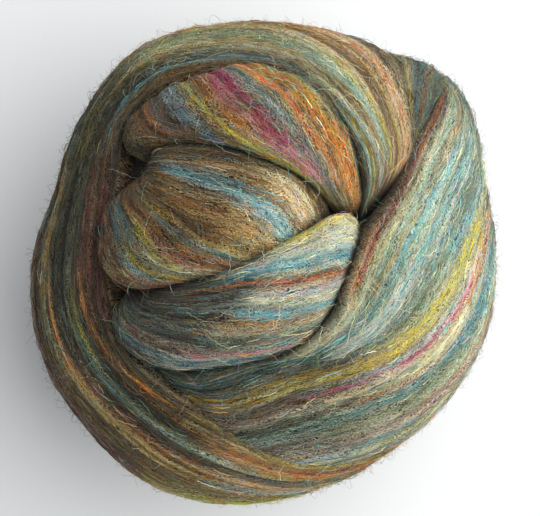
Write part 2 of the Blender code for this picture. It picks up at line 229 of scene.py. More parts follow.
# A stripe of one dye on a wrap. Its middle goes straight from start_across to end_across between
# its two ends along the wrap, and weight is its share against a ground of 1. The tables hold these
# values in this order, with a comma after each stripe, and all but the weight in hundredths.
Stripe = namedtuple("Stripe", "dye start_across end_across spread start end weight")
STRIPES = {
    # The wide black-brown stripe on the left half of this fold is partly its own dark dye and partly
    # painted shade on the side turned from the light.
    "upper_fold": """
        blue 29 26 2.2 0 42 4, blue 26 13 2.2 40 64 4, teal 23 11 3 5 60 1.5,
        yellow 36 34 1.4 0 45 3.5, yellow 34 30 2 42 72 3.5, yellow 30 36 5 70 95 2.5,
        rust 41 38 2.2 5 60 3, magenta 55 48 5 0 36 6, magenta 48 50 4.5 34 66 6,
        pink 50 50 6 58 85 5, maroon 45 45 4 0 40 2.5, slate 60 60 4 5 90 3,
        pale_grey 58 57 2 20 80 1.5, coral 68 69 1.6 0 85 9, yellow 76.5 76 1.4 5 50 5,
        black_brown 73.5 74 1.2 25 85 9, orange 80 79 3.5 0 62 12, mustard 83 83 1.4 0 75 8,
        orange 79 83 5 58 98 12, moss 93 93 6 0 100 5, rust 15 15 4 5 45 2, maroon 19 17 3 5 42 1.6,
        moss 2 2 5 0 100 2, black_brown 10 6 18 0 55 6, brown 10 10 20 10 60 2
    """,
    # The wide black-brown stripe on the left end of this fold is partly its own dark dye and partly
    # painted shade on the side turned from the light. The black-brown stripe along its right side, beside
    # the upper fold, is partly dark dye and partly the painted shadow of that fold.
    "middle_fold": """
        turquoise 74 60 4 12 90 5, blue 71 59 3 20 95 4, peach 78 76 7 50 100 8,
        brown 80 80 8 10 60 5, cream 82 80 3 45 95 2, brown 90 90 5 0 100 3, olive 93 93 5 10 100 3,
        moss 97 97 4 0 100 2, black_brown 90 93 9 0 85 11, cream 74 74 4 62 100 2.5,
        brown 52 50 6 0 50 3, tan 52 50 8 40 100 3, rust 55 50 3 10 70 2,
        mustard 42 40 1.3 20 80 2.4, teal 38 38 1.5 20 90 2, rust 32 30 4 10 80 2.5,
        mauve 28 28 3 30 90 2.2, cream 22 24 3 25 100 2.5, teal 20 20 3 10 80 2,
        yellow 17 20 2 30 90 2, mauve 10 10 5 10 90 2.5, black_brown 0 2 5 0 100 3,
        black_brown 50 50 60 0 46 5, brown 45 45 35 0 55 2.4, teal 16 16 2 15 60 5,
        yellow 26 24 1.2 20 60 5, deep_teal 86 90 3 10 50 5
    """,
    # The wide black-brown stripe on the left end of this fold is partly its own dark dye and partly
    # painted shade on the side turned from the light.
    "lower_fold": """
        yellow 97 96 2.5 42 100 4, cream 93 93 3.5 40 100 4, pale_grey 90 86 4 25 100 5,
        turquoise 83 75 4 30 100 7, blue 80 72 2.5 25 95 4, coral 73 61 1.4 25 100 5,
        rust 74 63 1.2 20 100 3, cream 77 67 2 40 100 4, lilac 63 56 3 45 100 2.5,
        peach 66 57 1.6 40 100 3, pale_grey 60 52 5 38 100 5, cream 57 50 2 45 100 5,
        pale_grey 35 30 14 62 100 3, cream 86 82 5 62 100 3, slate 52 52 4 15 60 2,
        turquoise 48 43 2.6 45 100 8, turquoise 48 48 1.8 20 55 2, tan 41 40 1.6 25 100 2.5,
        peach 40 36 3.5 35 100 5, slate 30 30 5 20 100 2, sage 33 30 4 40 100 1.5,
        mauve 25 20 3 15 50 3, pink 20 17 1.6 40 85 3, pale_grey 15 14 1.6 35 90 3,
        mauve 20 17 4 15 75 2, blue 12 12 2.8 15 85 3, moss 0 0 4 0 100 1.2,
        pale_grey 7 7 2.2 30 95 3, black_brown 50 50 40 0 46 6, deep_teal 40 40 35 0 55 1.2
    """,
    "right_band": """
        rust 1.5 1 1.6 0 60 5, maroon 3.5 1.8 1.4 5 60 6, mauve 0 0 1.6 0 56 4, brown 6 5 2 10 58 2,
        olive 8.5 7 2 10 60 3, mint 11 9 3 15 66 7, cream 7 6 1.4 20 66 5,
        turquoise 16 14 1.4 25 70 5, tan 14 10 2 15 66 3, mustard 15 10 1.2 20 66 5,
        mint 19 16 2.8 10 70 3, cream 21 20 1.2 15 56 1.5, turquoise 26 22 3 15 72 3.5,
        blue 31 30 1.4 20 72 2, slate 30 28 3 20 82 2, sage 35 33 3 15 72 3, mint 40 35 2 15 56 2,
        yellow 47 41 2.6 15 66 4, mustard 41 37 3.5 58 95 5, yellow 42 40 1.3 60 86 3,
        lilac 50 45 0.7 42 76 5, magenta 52 47 0.7 46 84 9, pink 53 48 0.9 40 62 4,
        peach 54 50 1.4 30 82 3, cream 57 53 1.8 50 86 4.5, yellow 59 54 1 36 76 2,
        rust 56 54 1.4 28 52 4, mustard 50 49 1.2 25 50 4, brown 20 20 25 0 30 2.5,
        slate 45 45 34 0 40 5, deep_teal 66 62 10 5 42 5, brown 82 80 10 10 45 3,
        deep_teal 35 35 10 0 16 4, turquoise 52 34 3 16 48 6, rust 60 56 1 40 82 4,
        turquoise 60 60 2.8 38 60 7, blue 62 60 2.2 36 60 7, teal 64 61 2.5 42 92 3,
        sage 68 65 3 25 82 2.5, mauve 72 70 3 35 98 3, brown 66 65 3 58 100 2.5,
        slate 80 78 4 25 92 2.5, pink 83 83 1.8 40 92 1.5, deep_teal 3 3 4 72 100 7,
        teal 18 16 5 66 100 4, turquoise 12 10 2 56 80 6, pale_grey 24 22 5 50 74 7,
        cream 4 3 2 56 74 7, maroon 47 47 5 76 100 3, moss 60 60 6 72 100 5,
        black_brown 64 60 10 72 100 5, turquoise 74 75 1 55 92 3, yellow 77 77 1 55 92 3,
        olive 80 80 3 60 100 2, peach 85 85 3 60 100 1.5, black_brown 22 22 22 70 100 5,
        black_brown 52 54 10 70 100 5, mustard 33 36 3 76 100 6, slate 66 66 30 60 100 1.6,
        mint 24 22 10 20 60 2, cream 30 26 1.2 20 60 3, turquoise 92 90 2 10 70 2.5,
        rust 96 95 2 10 80 2.5
    """,
    # The two wide black-brown stripes and the wide moss stripe where this band runs round the left side
    # of the ball are partly its own dark dyes and partly painted shade on the side turned from the light.
    "over_band": """
        black_brown 4 4 9 0 22 8, deep_teal 10 8 3 0 20 6, mint 24 18 2.6 0 15 14,
        teal 19 15 2 0 13 5, olive 29 26 3 2 20 4, yellow 36 22 1.8 2 15 7,
        turquoise 50 24 1.8 4 17 8, cream 46 28 2.6 4 20 14, tan 54 40 3 3 20 4,
        black_brown 40 36 1.2 10 30 5, mint 56 46 3 6 24 6, yellow 60 52 1.5 5 25 4,
        peach 64 58 2 3 26 4, brown 68 62 2 3 32 6, tan 72 66 2 3 30 4, moss 76 69 1.2 3 30 6,
        coral 81 73 2.4 2 24 5, peach 80 72 4 2 28 9, black_brown 92 84 5 2 24 9,
        olive 98 92 3 2 24 4, black_brown 0 0 5 15 46 6, brown 10 10 4 18 46 4,
        moss 28 26 1.4 16 46 6, peach 40 38 2 18 40 4, deep_teal 52 55 1.4 20 46 6,
        brown 76 76 2 20 50 5, slate 20 20 4 18 42 2, tan 35 35 5 15 36 2.5, sage 45 45 8 15 38 6,
        tan 62 60 6 20 40 6, pale_grey 30 30 3 20 36 4, cream 58 50 1.8 12 32 3,
        rust 70 65 3 15 36 2.5, turquoise 20 15 1.8 20 44 3, olive 35 40 7 25 50 2.5,
        turquoise 16 14 1.8 34 46 9, black_brown 0 0 7 38 70 5, slate 50 50 6 34 50 2,
        brown 60 60 5 30 60 2.5, maroon 12 10 7 42 62 7, deep_teal 35 30 6 42 68 5,
        moss 50 50 5 42 60 2.5, teal 60 55 3 42 60 2, tan 75 75 5 40 60 1.5, brown 20 20 5 54 76 3,
        orange 22 10 1 56 73 14, olive 30 25 5 55 76 2.5, slate 42 35 4 54 86 3,
        orange 50 45 1.2 54 72 8, tan 55 47 2.6 46 76 14, mint 55 50 1.3 54 70 2.5,
        mauve 70 70 5 50 82 2.5, teal 30 28 3 60 82 2.5, peach 40 42 2.2 60 82 4,
        coral 42 42 1.3 63 82 3, brown 60 55 5 60 86 2.5, maroon 72 65 4 60 86 2.5,
        slate 2 0 3 74 96 2.5, olive 10 10 4 72 96 2.5, tan 13 12 3 70 96 2, rust 20 20 3.2 70 96 6,
        orange 25 27 2.2 72 98 6, deep_teal 35 33 3 74 96 3, brown 42 40 4 70 100 2.5,
        turquoise 50 48 2.2 74 96 3.5, olive 60 60 4 70 100 2.5, lime 70 65 4.5 70 96 9,
        peach 86 84 3 70 96 5, mustard 30 30 2 68 95 4, peach 50 44 3 74 98 3.5,
        peach 66 60 4 72 100 3.5, sage 80 76 6 70 98 6, cream 92 90 5 68 96 6,
        peach 75 72 2 68 96 6, black_brown 25 25 32 36 76 14, black_brown 80 80 18 36 72 6,
        tan 90 88 2 44 72 5, moss 30 30 30 34 56 1.6, turquoise 88 85 2 30 80 2.5,
        yellow 93 95 2 35 90 2.5, rust 83 86 2 30 90 2.5
    """,
    "corner_wrap": """
        moss 15 15 10 0 100 4, rust 30 30 3 0 100 3, olive 38 35 6 0 100 3, tan 40 40 5 0 100 2,
        slate 55 55 8 0 100 2.5, black_brown 50 50 35 0 100 4, brown 70 70 5 0 100 3,
        teal 80 80 3 0 100 3, moss 92 92 8 0 100 4
    """,
    "under_wrap": """
        teal 30 25 5 0 100 3, rust 42 46 4 0 100 3, yellow 55 50 2 10 90 4,
        turquoise 66 70 4 0 100 3, maroon 80 78 5 10 100 2.5, cream 16 20 2 10 90 3,
        coral 88 90 2 20 100 3
    """,
}

# What every stripe's weight is multiplied by, and how far along it eases in and out.
STRIPE_SHARE = 0.75
STRIPE_EASE = 0.06

# The heathered ground of each wrap: the share of each dye.
GROUND = {
    "upper_fold": dict(brown=3, olive=2, tan=1.5, slate=1.5, teal=1, rust=1, mustard=0.8, sage=1),
    "middle_fold": dict(brown=3, tan=2, rust=1, olive=1, slate=1, teal=0.8, mustard=0.7, cream=0.4),
    "lower_fold": dict(slate=2, brown=2, teal=1.5, tan=1, sage=1, pale_grey=1, rust=0.6, mauve=0.6),
    "right_band": dict(
        sage=2, slate=0.9, tan=1.3, teal=0.7, brown=0.8,
        mint=1.6, mustard=0.8, mauve=0.5, olive=0.7, pale_grey=1.3,
    ),
    "over_band": dict(
        brown=2.5, olive=1.5, slate=1.5, tan=1.2, teal=1, moss=1.2, rust=0.7, mauve=0.6, sage=0.8
    ),
    "corner_wrap": dict(slate=2, teal=1.5, brown=1.5, olive=1.5, sage=0.7),
    "under_wrap": dict(
        brown=2.5, olive=1.5, slate=1.5, tan=1.2, teal=1, moss=1, rust=0.7, mauve=0.6, sage=0.8
    ),
}

# The dyes that a single fibre may take instead of its lock's: stops of noise from 0 to 1.
HEATHER = (
    (0.30, "teal"), (0.36, "turquoise"), (0.41, "pale_grey"), (0.45, "tan"), (0.49, "cream"),
    (0.53, "sage"), (0.57, "peach"), (0.61, "rust"), (0.66, "yellow"), (0.72, "turquoise"),
)
STRAY_DYES = ("pale_grey", "pale_grey", "turquoise", "mint", "peach", "sage", "lilac", "cream")

# Share of red, green and blue in a colour's grey, the mean of middling wool, how far light or dark
# wool is counted against it, and the limits of a dye's colour.
GREY_SHARES = np.array([0.2126, 0.7152, 0.0722])
MIDDLE_TONE = 0.20
TONE_LIMITS = (0.22, 1.4)
TABLE_LIMITS = (0.003, 0.95)

# Noise drawn out along a wrap: its length and width in millimetres, and its reach.
Grain = namedtuple("Grain", "length width reach")
RIDGE_WANDER = Grain(38, 16, 3.0)
RIDGES = (Grain(70, 5.5, 1.0), Grain(45, 2.3, 0.55), Grain(22, 1.05, 0.28))
STREAKS = (Grain(34, 1.7, 0.6), Grain(17, 0.8, 0.4))
SHADING = Grain(26, 1.3, 0.8)
LOCK_WANDER = Grain(13.0, 3.2, 1.6)
CRIMP_PHASE = Grain(8.0, 2.2, 18.0)

# A wrap is gauged on a net of so many rows and columns, and its width is that of its widest rows.
GAUGE_ROWS = 81
GAUGE_COLUMNS = 13
WIDEST_ROWS = 30
SQUARE_CENTIMETRES = 1e4
LEAST_RELIEF = 0.2
SLOPE_STEP = 0.004

# Painted shade in the grooves and painted light on the ridges: how much the relief changes the light,
# its limits, and the light that the underside keeps under its painted shade.
GROOVE_DEPTH = 0.6
GROOVE_LIMITS = (0.35, 1.4)
BURIED_LIGHT = 0.05
SECOND_DYE_SHIFT = 5000
PATTERN_STEP = 500


@lru_cache(maxsize=None)
def stripes(kind):
    """The stripes of a kind of wrap, from its table."""
    rows = [row.split() for row in STRIPES[kind].split(",")]
    return [Stripe(row[0], *(float(part) / 100 for part in row[1:-1]), float(row[-1])) for row in rows]


def linear(colour):
    """Linear light from a display colour, by the usual power curve with its straight foot."""
    colour = np.asarray(colour, float)
    return np.where(colour <= 0.04045, colour / 12.92, ((colour + 0.055) / 1.055) ** 2.4)


# ---------------------------------------------------------------- the ball's surface


def direction(bearing, drop):
    """Unit vector towards a bearing and drop."""
    turn = math.radians(bearing)
    lean = math.radians(drop)
    return np.array([math.sin(lean) * math.cos(turn), math.sin(lean) * math.sin(turn), math.cos(lean)])


def unit(vectors):
    """The vectors, each divided by its length."""
    return vectors / np.maximum(np.linalg.norm(vectors, axis=-1, keepdims=True), 1e-12)


def swell(places):
    """Extra rise at each unit vector: the sum of bells in bearing and drop."""
    bearings = np.degrees(np.arctan2(places[..., 1], places[..., 0]))
    drops = np.degrees(np.arccos(np.clip(places[..., 2], -1, 1)))
    rise = np.zeros(bearings.shape)
    for part in SWELLS:
        turn = (bearings - part.bearing + 180) % 360 - 180
        lean = drops - part.drop
        rise += part.rise * np.exp(-((turn / part.bearing_spread) ** 2) - (lean / part.drop_spread) ** 2)
    return rise


def outwards(places):
    """The core's outward normal at each unit vector: the place divided by the radii, made a unit."""
    return unit(places / CORE_RADII)


def settle(points):
    """Points kept above the floor: each height becomes half of itself plus its rounded size."""
    points = points.copy()
    height = points[..., 2]
    points[..., 2] = (height + np.sqrt(height**2 + FLOOR_EASE**2)) / 2
    return points


def on_ball(places, rises):
    """Points at the given rises over the core: the core's point plus its normal times the rise."""
    rises = np.asarray(rises) + swell(places)
    return settle(CORE_CENTRE + places * CORE_RADII + outwards(places) * rises[..., None])


def smooth_at(rows, along):
    """A Catmull-Rom curve through the rows, read at shares of the way along it."""
    steps = np.clip(along, 0, 1) * (len(rows) - 1)
    index = np.minimum(steps.astype(int), len(rows) - 2)
    part = (steps - index)[..., None]
    ends = np.vstack([2 * rows[0] - rows[1], rows, 2 * rows[-1] - rows[-2]])
    before, here, after, beyond = (ends[index + shift] for shift in range(4))
    return 0.5 * (
        2 * here
        + (after - before) * part
        + (2 * before - 5 * here + 4 * after - beyond) * part**2
        + (3 * here - before - 3 * after + beyond) * part**3
    )


# Corners along a side of the noise's lattice, after which it repeats.
NOISE_LATTICE = 128


def value_noise(x, y, seed):
    """Smooth noise from 0 to 1: random heights on a lattice one unit apart, eased between corners."""
    size = NOISE_LATTICE
    lattice = np.random.default_rng(seed).random((size, size))
    column, row = np.floor(x).astype(int), np.floor(y).astype(int)
    right, up = x - column, y - row
    right, up = right * right * (3 - 2 * right), up * up * (3 - 2 * up)
    near, far = column % size, (column + 1) % size
    low, high = row % size, (row + 1) % size
    bottom = lattice[near, low] * (1 - right) + lattice[far, low] * right
    top = lattice[near, high] * (1 - right) + lattice[far, high] * right
    return bottom * (1 - up) + top * up


def grain(kind, x, y, seed):
    """Noise from 0 to 1 at millimetres along and across a wrap, drawn out as the grain says."""
    return value_noise(x / kind.length, y / kind.width, seed)


class Wrap:
    """A band of fibres over the ball, between a left, a middle and a right guide line."""

    def __init__(self, name, kind, guides, rises, power, seed):
        self.name = name
        self.kind = kind
        self.guides = guides
        self.rise_rows = rises
        self.power = power
        self.seed = seed
        way = np.linspace(0, 1, GAUGE_ROWS)
        middle = self.points(way, np.full(GAUGE_ROWS, 0.5))
        self.length = np.linalg.norm(np.diff(middle, axis=0), axis=1).sum()
        along, across = np.meshgrid(way, np.linspace(0, 1, GAUGE_COLUMNS), indexing="ij")
        spans = np.linalg.norm(np.diff(self.points(along, across), axis=1), axis=2).sum(axis=1)
        self.widths = spans[:, None]
        self.width = float(np.sort(spans)[-WIDEST_ROWS:].mean())

    def spread(self, along, across):
        """Millimetres along and across the wrap, laid out flat."""
        return along * self.length / MM, across * self.width / MM

    def places(self, along, across):
        """Unit vectors: the parabola across through the left, middle and right guide lines."""
        left, middle, right = (smooth_at(guide, along) for guide in self.guides)
        v = across[..., None]
        return unit(left * (1 - v) * (1 - 2 * v) + middle * 4 * v * (1 - v) + right * v * (2 * v - 1))

    def rises(self, along, across):
        """Rises: straight from side to side, plus a crown that falls off by a power of the offset."""
        rows = smooth_at(self.rise_rows, along)
        left, crown, right = rows[..., 0], rows[..., 1], rows[..., 2]
        bow = np.sqrt(np.clip(1 - np.abs(2 * across - 1) ** self.power, 0, 1))
        straight = left * (1 - across) + right * across
        return (straight + (crown - (left + right) / 2) * bow) * MM

    def relief(self, along, across):
        """Ridges that run with the fibres: the sum of noises drawn out along the wrap.

        The noises bend from side to side together, and are flatter where the wrap is narrow.
        """
        x, y = self.spread(along, across)
        y = y + RIDGE_WANDER.reach * (grain(RIDGE_WANDER, x, y, self.seed) - 0.5)
        height = np.zeros(x.shape)
        for number, ridge in enumerate(RIDGES):
            height += ridge.reach * (grain(ridge, x, y, self.seed + 1 + number) - 0.5) * 2
        squeeze = smooth_at(self.widths, along)[..., 0] / self.width
        return height * bpy.context.scene.wool_winding.ridge * np.clip(squeeze, LEAST_RELIEF, 1)

    def points(self, along, across, lift=None):
        """Points of the smooth surface, or with its relief and a lift where a lift is given."""
        rises = self.rises(along, across)
        if lift is not None:
            rises = rises + self.relief(along, across) + lift
        return on_ball(self.places(along, across), rises)

    def normals(self, along, across):
        """Outward unit normals: the cross product of the surface's slopes along and across."""
        front, back = (np.clip(along + step, 0, 1) for step in (SLOPE_STEP, -SLOPE_STEP))
        right, left = (np.clip(across + step, 0, 1) for step in (SLOPE_STEP, -SLOPE_STEP))
        ahead = self.points(front, across) - self.points(back, across)
        aside = self.points(along, right) - self.points(along, left)
        found = unit(np.cross(ahead, aside))
        facing = np.einsum("...i,...i->...", found, outwards(self.places(along, across)))
        return found * np.where(facing < 0, -1.0, 1.0)[..., None]

    def shares(self, along, across, contrast, shift=0):
        """Share of each dye: stripes and ground, each times its own streaks raised by the contrast."""
        ground = GROUND[self.kind]
        total = sum(ground.values())
        x, y = self.spread(along, across)
        weights = np.zeros((len(DYE_NAMES),) + along.shape)
        for dye, amount in ground.items():
            weights[DYE_NAMES.index(dye)] += amount / total
        for stripe in stripes(self.kind):
            way = np.clip((along - stripe.start) / (stripe.end - stripe.start), 0, 1)
            middle = stripe.start_across + (stripe.end_across - stripe.start_across) * way
            fade = np.clip((stripe.end - along) / STRIPE_EASE, 0, 1)
            if stripe.start > 0:
                fade = fade * np.clip((along - stripe.start) / STRIPE_EASE, 0, 1)
            bell = np.exp(-(((across - middle) / stripe.spread) ** 2))
            weights[DYE_NAMES.index(stripe.dye)] += STRIPE_SHARE * stripe.weight * fade * bell
        for index in range(len(DYE_NAMES)):
            seed = self.seed * 7 + 31 * index + shift
            streak = sum(part.reach * grain(part, x, y, seed + step) for step, part in enumerate(STREAKS))
            weights[index] *= np.exp(contrast * (streak - 0.5))
        return weights / weights.sum(axis=0)


def table_wrap(name, power, seed):
    """A wrap over the sections of its table."""
    lines = SECTIONS[name].strip().splitlines()
    rows = np.array([line.replace(",", " ").split() for line in lines], float)
    guides = [np.array([direction(*spot) for spot in rows[:, at : at + 2]]) for at in (0, 2, 4)]
    return Wrap(name, name, guides, rows[:, 6:], power, seed)


def under_wrap(name, wrap, seed):
    """A wrap that crosses the foot of the ball: three arcs about its axis, sunk at both ends."""
    axis = direction(wrap.axis_bearing, 90)
    side = direction(wrap.axis_bearing + 90, 90)
    foot = direction(0, 180)
    turn = np.radians(np.linspace(wrap.start, wrap.end, UNDER_SECTIONS))[:, None]
    circle = np.cos(turn) * foot + np.sin(turn) * side
    guides = []
    for shift in (wrap.shift - wrap.half_width, wrap.shift, wrap.shift + wrap.half_width):
        guides.append(math.cos(math.radians(shift)) * circle + math.sin(math.radians(shift)) * axis)
    way = np.linspace(0, 1, UNDER_SECTIONS)
    tucked = np.exp(-way / UNDER_TUCK_SPREAD) + np.exp((way - 1) / UNDER_TUCK_SPREAD)
    rim = UNDER_RIM_RISE + (UNDER_TUCKED_RISE - UNDER_RIM_RISE) * tucked
    crown = wrap.crown + (UNDER_TUCKED_RISE - wrap.crown) * tucked
    return Wrap(name, "under_wrap", guides, np.stack([rim, crown, rim], axis=1), BAND_POWER, seed)


@lru_cache(maxsize=None)
def wraps():
    """Every wrap of the ball, by name."""
    found = [table_wrap(name, power, seed) for name, (power, seed) in MAKES.items()]
    for index, wrap in enumerate(UNDER_WRAPS):
        found.append(under_wrap(f"under_wrap_{index + 1}", wrap, 71 + 5 * index))
    return {wrap.name: wrap for wrap in found}


# The map of what lies highest: cells along a side of a cube round the ball, and samples of a wrap.
# A root shows where its wrap is no deeper than the slack below the highest.
COVER_CELLS = 96
COVER_SAMPLES = (900, 320)
ROOT_SLACK = 1.2 * MM

# The valleys: how far round a place the cover is read and in how many directions, the depth that
# keeps its light, and the depth below that at which it has lost about two thirds.
VALLEY_REACHES = (0.8 * MM, 1.7 * MM, 3.0 * MM)
VALLEY_TURNS = 6
VALLEY_TWIST = 0.5
VALLEY_SLACK = 0.8 * MM
VALLEY_DEPTH = 1.3 * MM


def cover_cells(places):
    """Cell of a cube round the ball for each unit vector: its face, then two steps across the face."""
    major = np.abs(places).argmax(axis=-1)
    ahead = np.take_along_axis(places, major[..., None], -1)[..., 0]
    first = np.take_along_axis(places, ((major + 1) % 3)[..., None], -1)[..., 0] / np.abs(ahead)
    second = np.take_along_axis(places, ((major + 2) % 3)[..., None], -1)[..., 0] / np.abs(ahead)
    face = major * 2 + (ahead > 0)
    row = np.clip(((first + 1) / 2 * COVER_CELLS).astype(int), 0, COVER_CELLS - 1)
    column = np.clip(((second + 1) / 2 * COVER_CELLS).astype(int), 0, COVER_CELLS - 1)
    return (face * COVER_CELLS + row) * COVER_CELLS + column


@lru_cache(maxsize=None)
def cover_map():
    """Highest rise of any wrap in each cell, from an even sampling of every wrap."""
    highest = np.full(6 * COVER_CELLS**2, CORE_RISE)
    for wrap in wraps().values():
        ways = (np.linspace(0, 1, count) for count in COVER_SAMPLES)
        along, across = np.meshgrid(*ways, indexing="ij")
        cells = cover_cells(wrap.places(along, across)).ravel()
        np.maximum.at(highest, cells, wrap.rises(along, across).ravel())
    return highest


def valley_light(places, rises):
    """Light left at places beside a higher wrap: e to the minus depth below the mean cover around.

    The depth is counted from a slack below that mean, so that an open slope keeps its light.
    """
    side = unit(np.cross(places, (0.31, 0.52, 0.79)))
    ahead = np.cross(places, side)
    total = np.zeros(rises.shape)
    for ring, reach in enumerate(VALLEY_REACHES):
        for turn in np.arange(VALLEY_TURNS) * 2 * math.pi / VALLEY_TURNS + VALLEY_TWIST * ring:
            moved = places + (side * math.cos(turn) + ahead * math.sin(turn)) * reach / CORE_RADII.mean()
            total += cover_map()[cover_cells(unit(moved))]
    depth = total / (VALLEY_TURNS * len(VALLEY_REACHES)) - VALLEY_SLACK - rises
    return np.exp(-np.clip(depth, 0, None) / VALLEY_DEPTH)


def roots(wrap, density, rng):
    """Random places on what shows of a wrap, so many to a square centimetre: (along, across)."""
    count = int(wrap.length * wrap.width * SQUARE_CENTIMETRES * density)
    along = rng.random(count)
    across = rng.random(count)
    share = smooth_at(wrap.widths, along)[:, 0] / wrap.widths.max()
    kept = rng.random(count) < share
    along, across = along[kept], across[kept]
    cover = cover_map()[cover_cells(wrap.places(along, across))]
    shows = wrap.rises(along, across) > cover - ROOT_SLACK
    return along[shows], across[shows]


# ---------------------------------------------------------------- meshes


def add_piece(name, points, quads, triangles, along_map, bake_map, colours, material):
    """A smooth-shaded mesh object at the origin, riding on the ball's body.

    The maps hold one place for each corner, quads first. The colours hold one or two dyes for each
    point, with painted shade laid into them, each with a fourth value that carries the painted light to
    the material.
    """
    mesh = bpy.data.meshes.new(name)
    mesh.vertices.add(len(points))
    mesh.vertices.foreach_set("co", np.ascontiguousarray(points, np.float32).ravel())
    corners = np.concatenate([quads.ravel(), triangles.ravel()]).astype(np.int32)
    starts = np.concatenate(
        [np.arange(len(quads)) * 4, len(quads) * 4 + np.arange(len(triangles)) * 3]
    ).astype(np.int32)
    mesh.loops.add(len(corners))
    mesh.loops.foreach_set("vertex_index", corners)
    mesh.polygons.add(len(starts))
    mesh.polygons.foreach_set("loop_start", starts)
    mesh.update(calc_edges=True)
    for label, places in (("along", along_map), ("OFBake", bake_map)):
        layer = mesh.uv_layers.new(name=label)
        layer.uv.foreach_set("vector", np.ascontiguousarray(places, np.float32).ravel())
    mesh.uv_layers["along"].active_render = True
    # The dye attributes hold dyes with painted shade, and painted light in their fourth value.
    for index, label in enumerate(("dye", "second_dye")[: colours.shape[1] // 4]):
        dye = mesh.color_attributes.new(label, "FLOAT_COLOR", "POINT")
        shown = colours[:, 4 * index : 4 * index + 4]
        dye.data.foreach_set("color", np.ascontiguousarray(shown, np.float32).ravel())
    mesh.shade_smooth()
    mesh.materials.append(material)
    piece = bpy.data.objects.new(name, mesh)
    bpy.context.scene.collection.objects.link(piece)
    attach(piece, BODY)
    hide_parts(NODE)
    return piece


def shell(loops):
    """Faces of closed loops of points, with a fan at each end: (points, quads, triangles, corners).

    The corners give each face corner's loop and step round the loop, and are turned with the faces
    so that the volume is positive.
    """
    rows, around = loops.shape[:2]
    row, step = np.meshgrid(np.arange(rows - 1), np.arange(around), indexing="ij")
    rings = np.stack([row, row, row + 1, row + 1], -1).reshape(-1, 4)
    steps = np.stack([step, step + 1, step + 1, step], -1).reshape(-1, 4)
    quads = rings * around + steps % around
    here = np.arange(around)
    first = rows * around
    low = np.stack([np.full(around, first), (here + 1) % around, here], -1)
    high = np.stack([np.full(around, first + 1), here, (here + 1) % around], -1)
    high[:, 1:] += (rows - 1) * around
    triangles = np.concatenate([low, high])
    low_corners = np.stack([np.zeros((around, 3)), np.stack([here, here + 1, here], -1)], -1)
    high_corners = np.stack([np.full((around, 3), rows - 1.0), np.stack([here, here, here + 1], -1)], -1)
    points = np.concatenate([loops.reshape(-1, 3), loops[:1].mean(axis=1), loops[-1:].mean(axis=1)])
    corners = np.concatenate(
        [part.reshape(-1, 2) for part in (np.stack([rings, steps], -1), low_corners, high_corners)]
    )
    a, b, c, d = (points[quads[:, index]] for index in range(4))
    volume = np.einsum("ij,ij->i", a, np.cross(b, c) + np.cross(c, d)).sum()
    if volume < 0:
        count = len(quads) * 4
        quads, triangles = quads[:, ::-1], triangles[:, ::-1]
        corners = np.concatenate(
            [
                corners[:count].reshape(-1, 4, 2)[:, ::-1].reshape(-1, 2),
                corners[count:].reshape(-1, 3, 2)[:, ::-1].reshape(-1, 2),
            ]
        )
    return points, quads, triangles, corners


def join_shells(parts):
    """Several sets of (points, quads, triangles, along map, bake map, colours) as one set.

    The maps list the quads' corners first, so those are put together before the triangles'.
    """
    offset = 0
    quads, triangles, maps = [], [], [[[], []], [[], []]]
    for points, four, three, *corner_maps, _ in parts:
        quads.append(four + offset)
        triangles.append(three + offset)
        offset += len(points)
        for slot, places in zip(maps, corner_maps):
            slot[0].append(places[: four.size])
            slot[1].append(places[four.size :])
    along_map, bake_map = (np.concatenate(slot[0] + slot[1]) for slot in maps)
    points = np.concatenate([part[0] for part in parts])
    colours = np.concatenate([part[5] for part in parts])
    return points, np.concatenate(quads), np.concatenate(triangles), along_map, bake_map, colours


def dye_table():
    """Linear colour of every dye, in the order of their names, drawn away from its own grey."""
    dyes = bpy.context.scene.wool_dyes
    table = linear([tuple(getattr(dyes, name)) for name in DYE_NAMES])
    grey = table @ GREY_SHARES
    richness = bpy.context.scene.wool_winding.richness
    return np.clip(grey[:, None] + (table - grey[:, None]) * richness, *TABLE_LIMITS)


def tone(colours):
    """How light colours are against middling wool: their mean over its own, between two limits."""
    return np.clip(colours.mean(axis=-1, keepdims=True) / MIDDLE_TONE, *TONE_LIMITS)


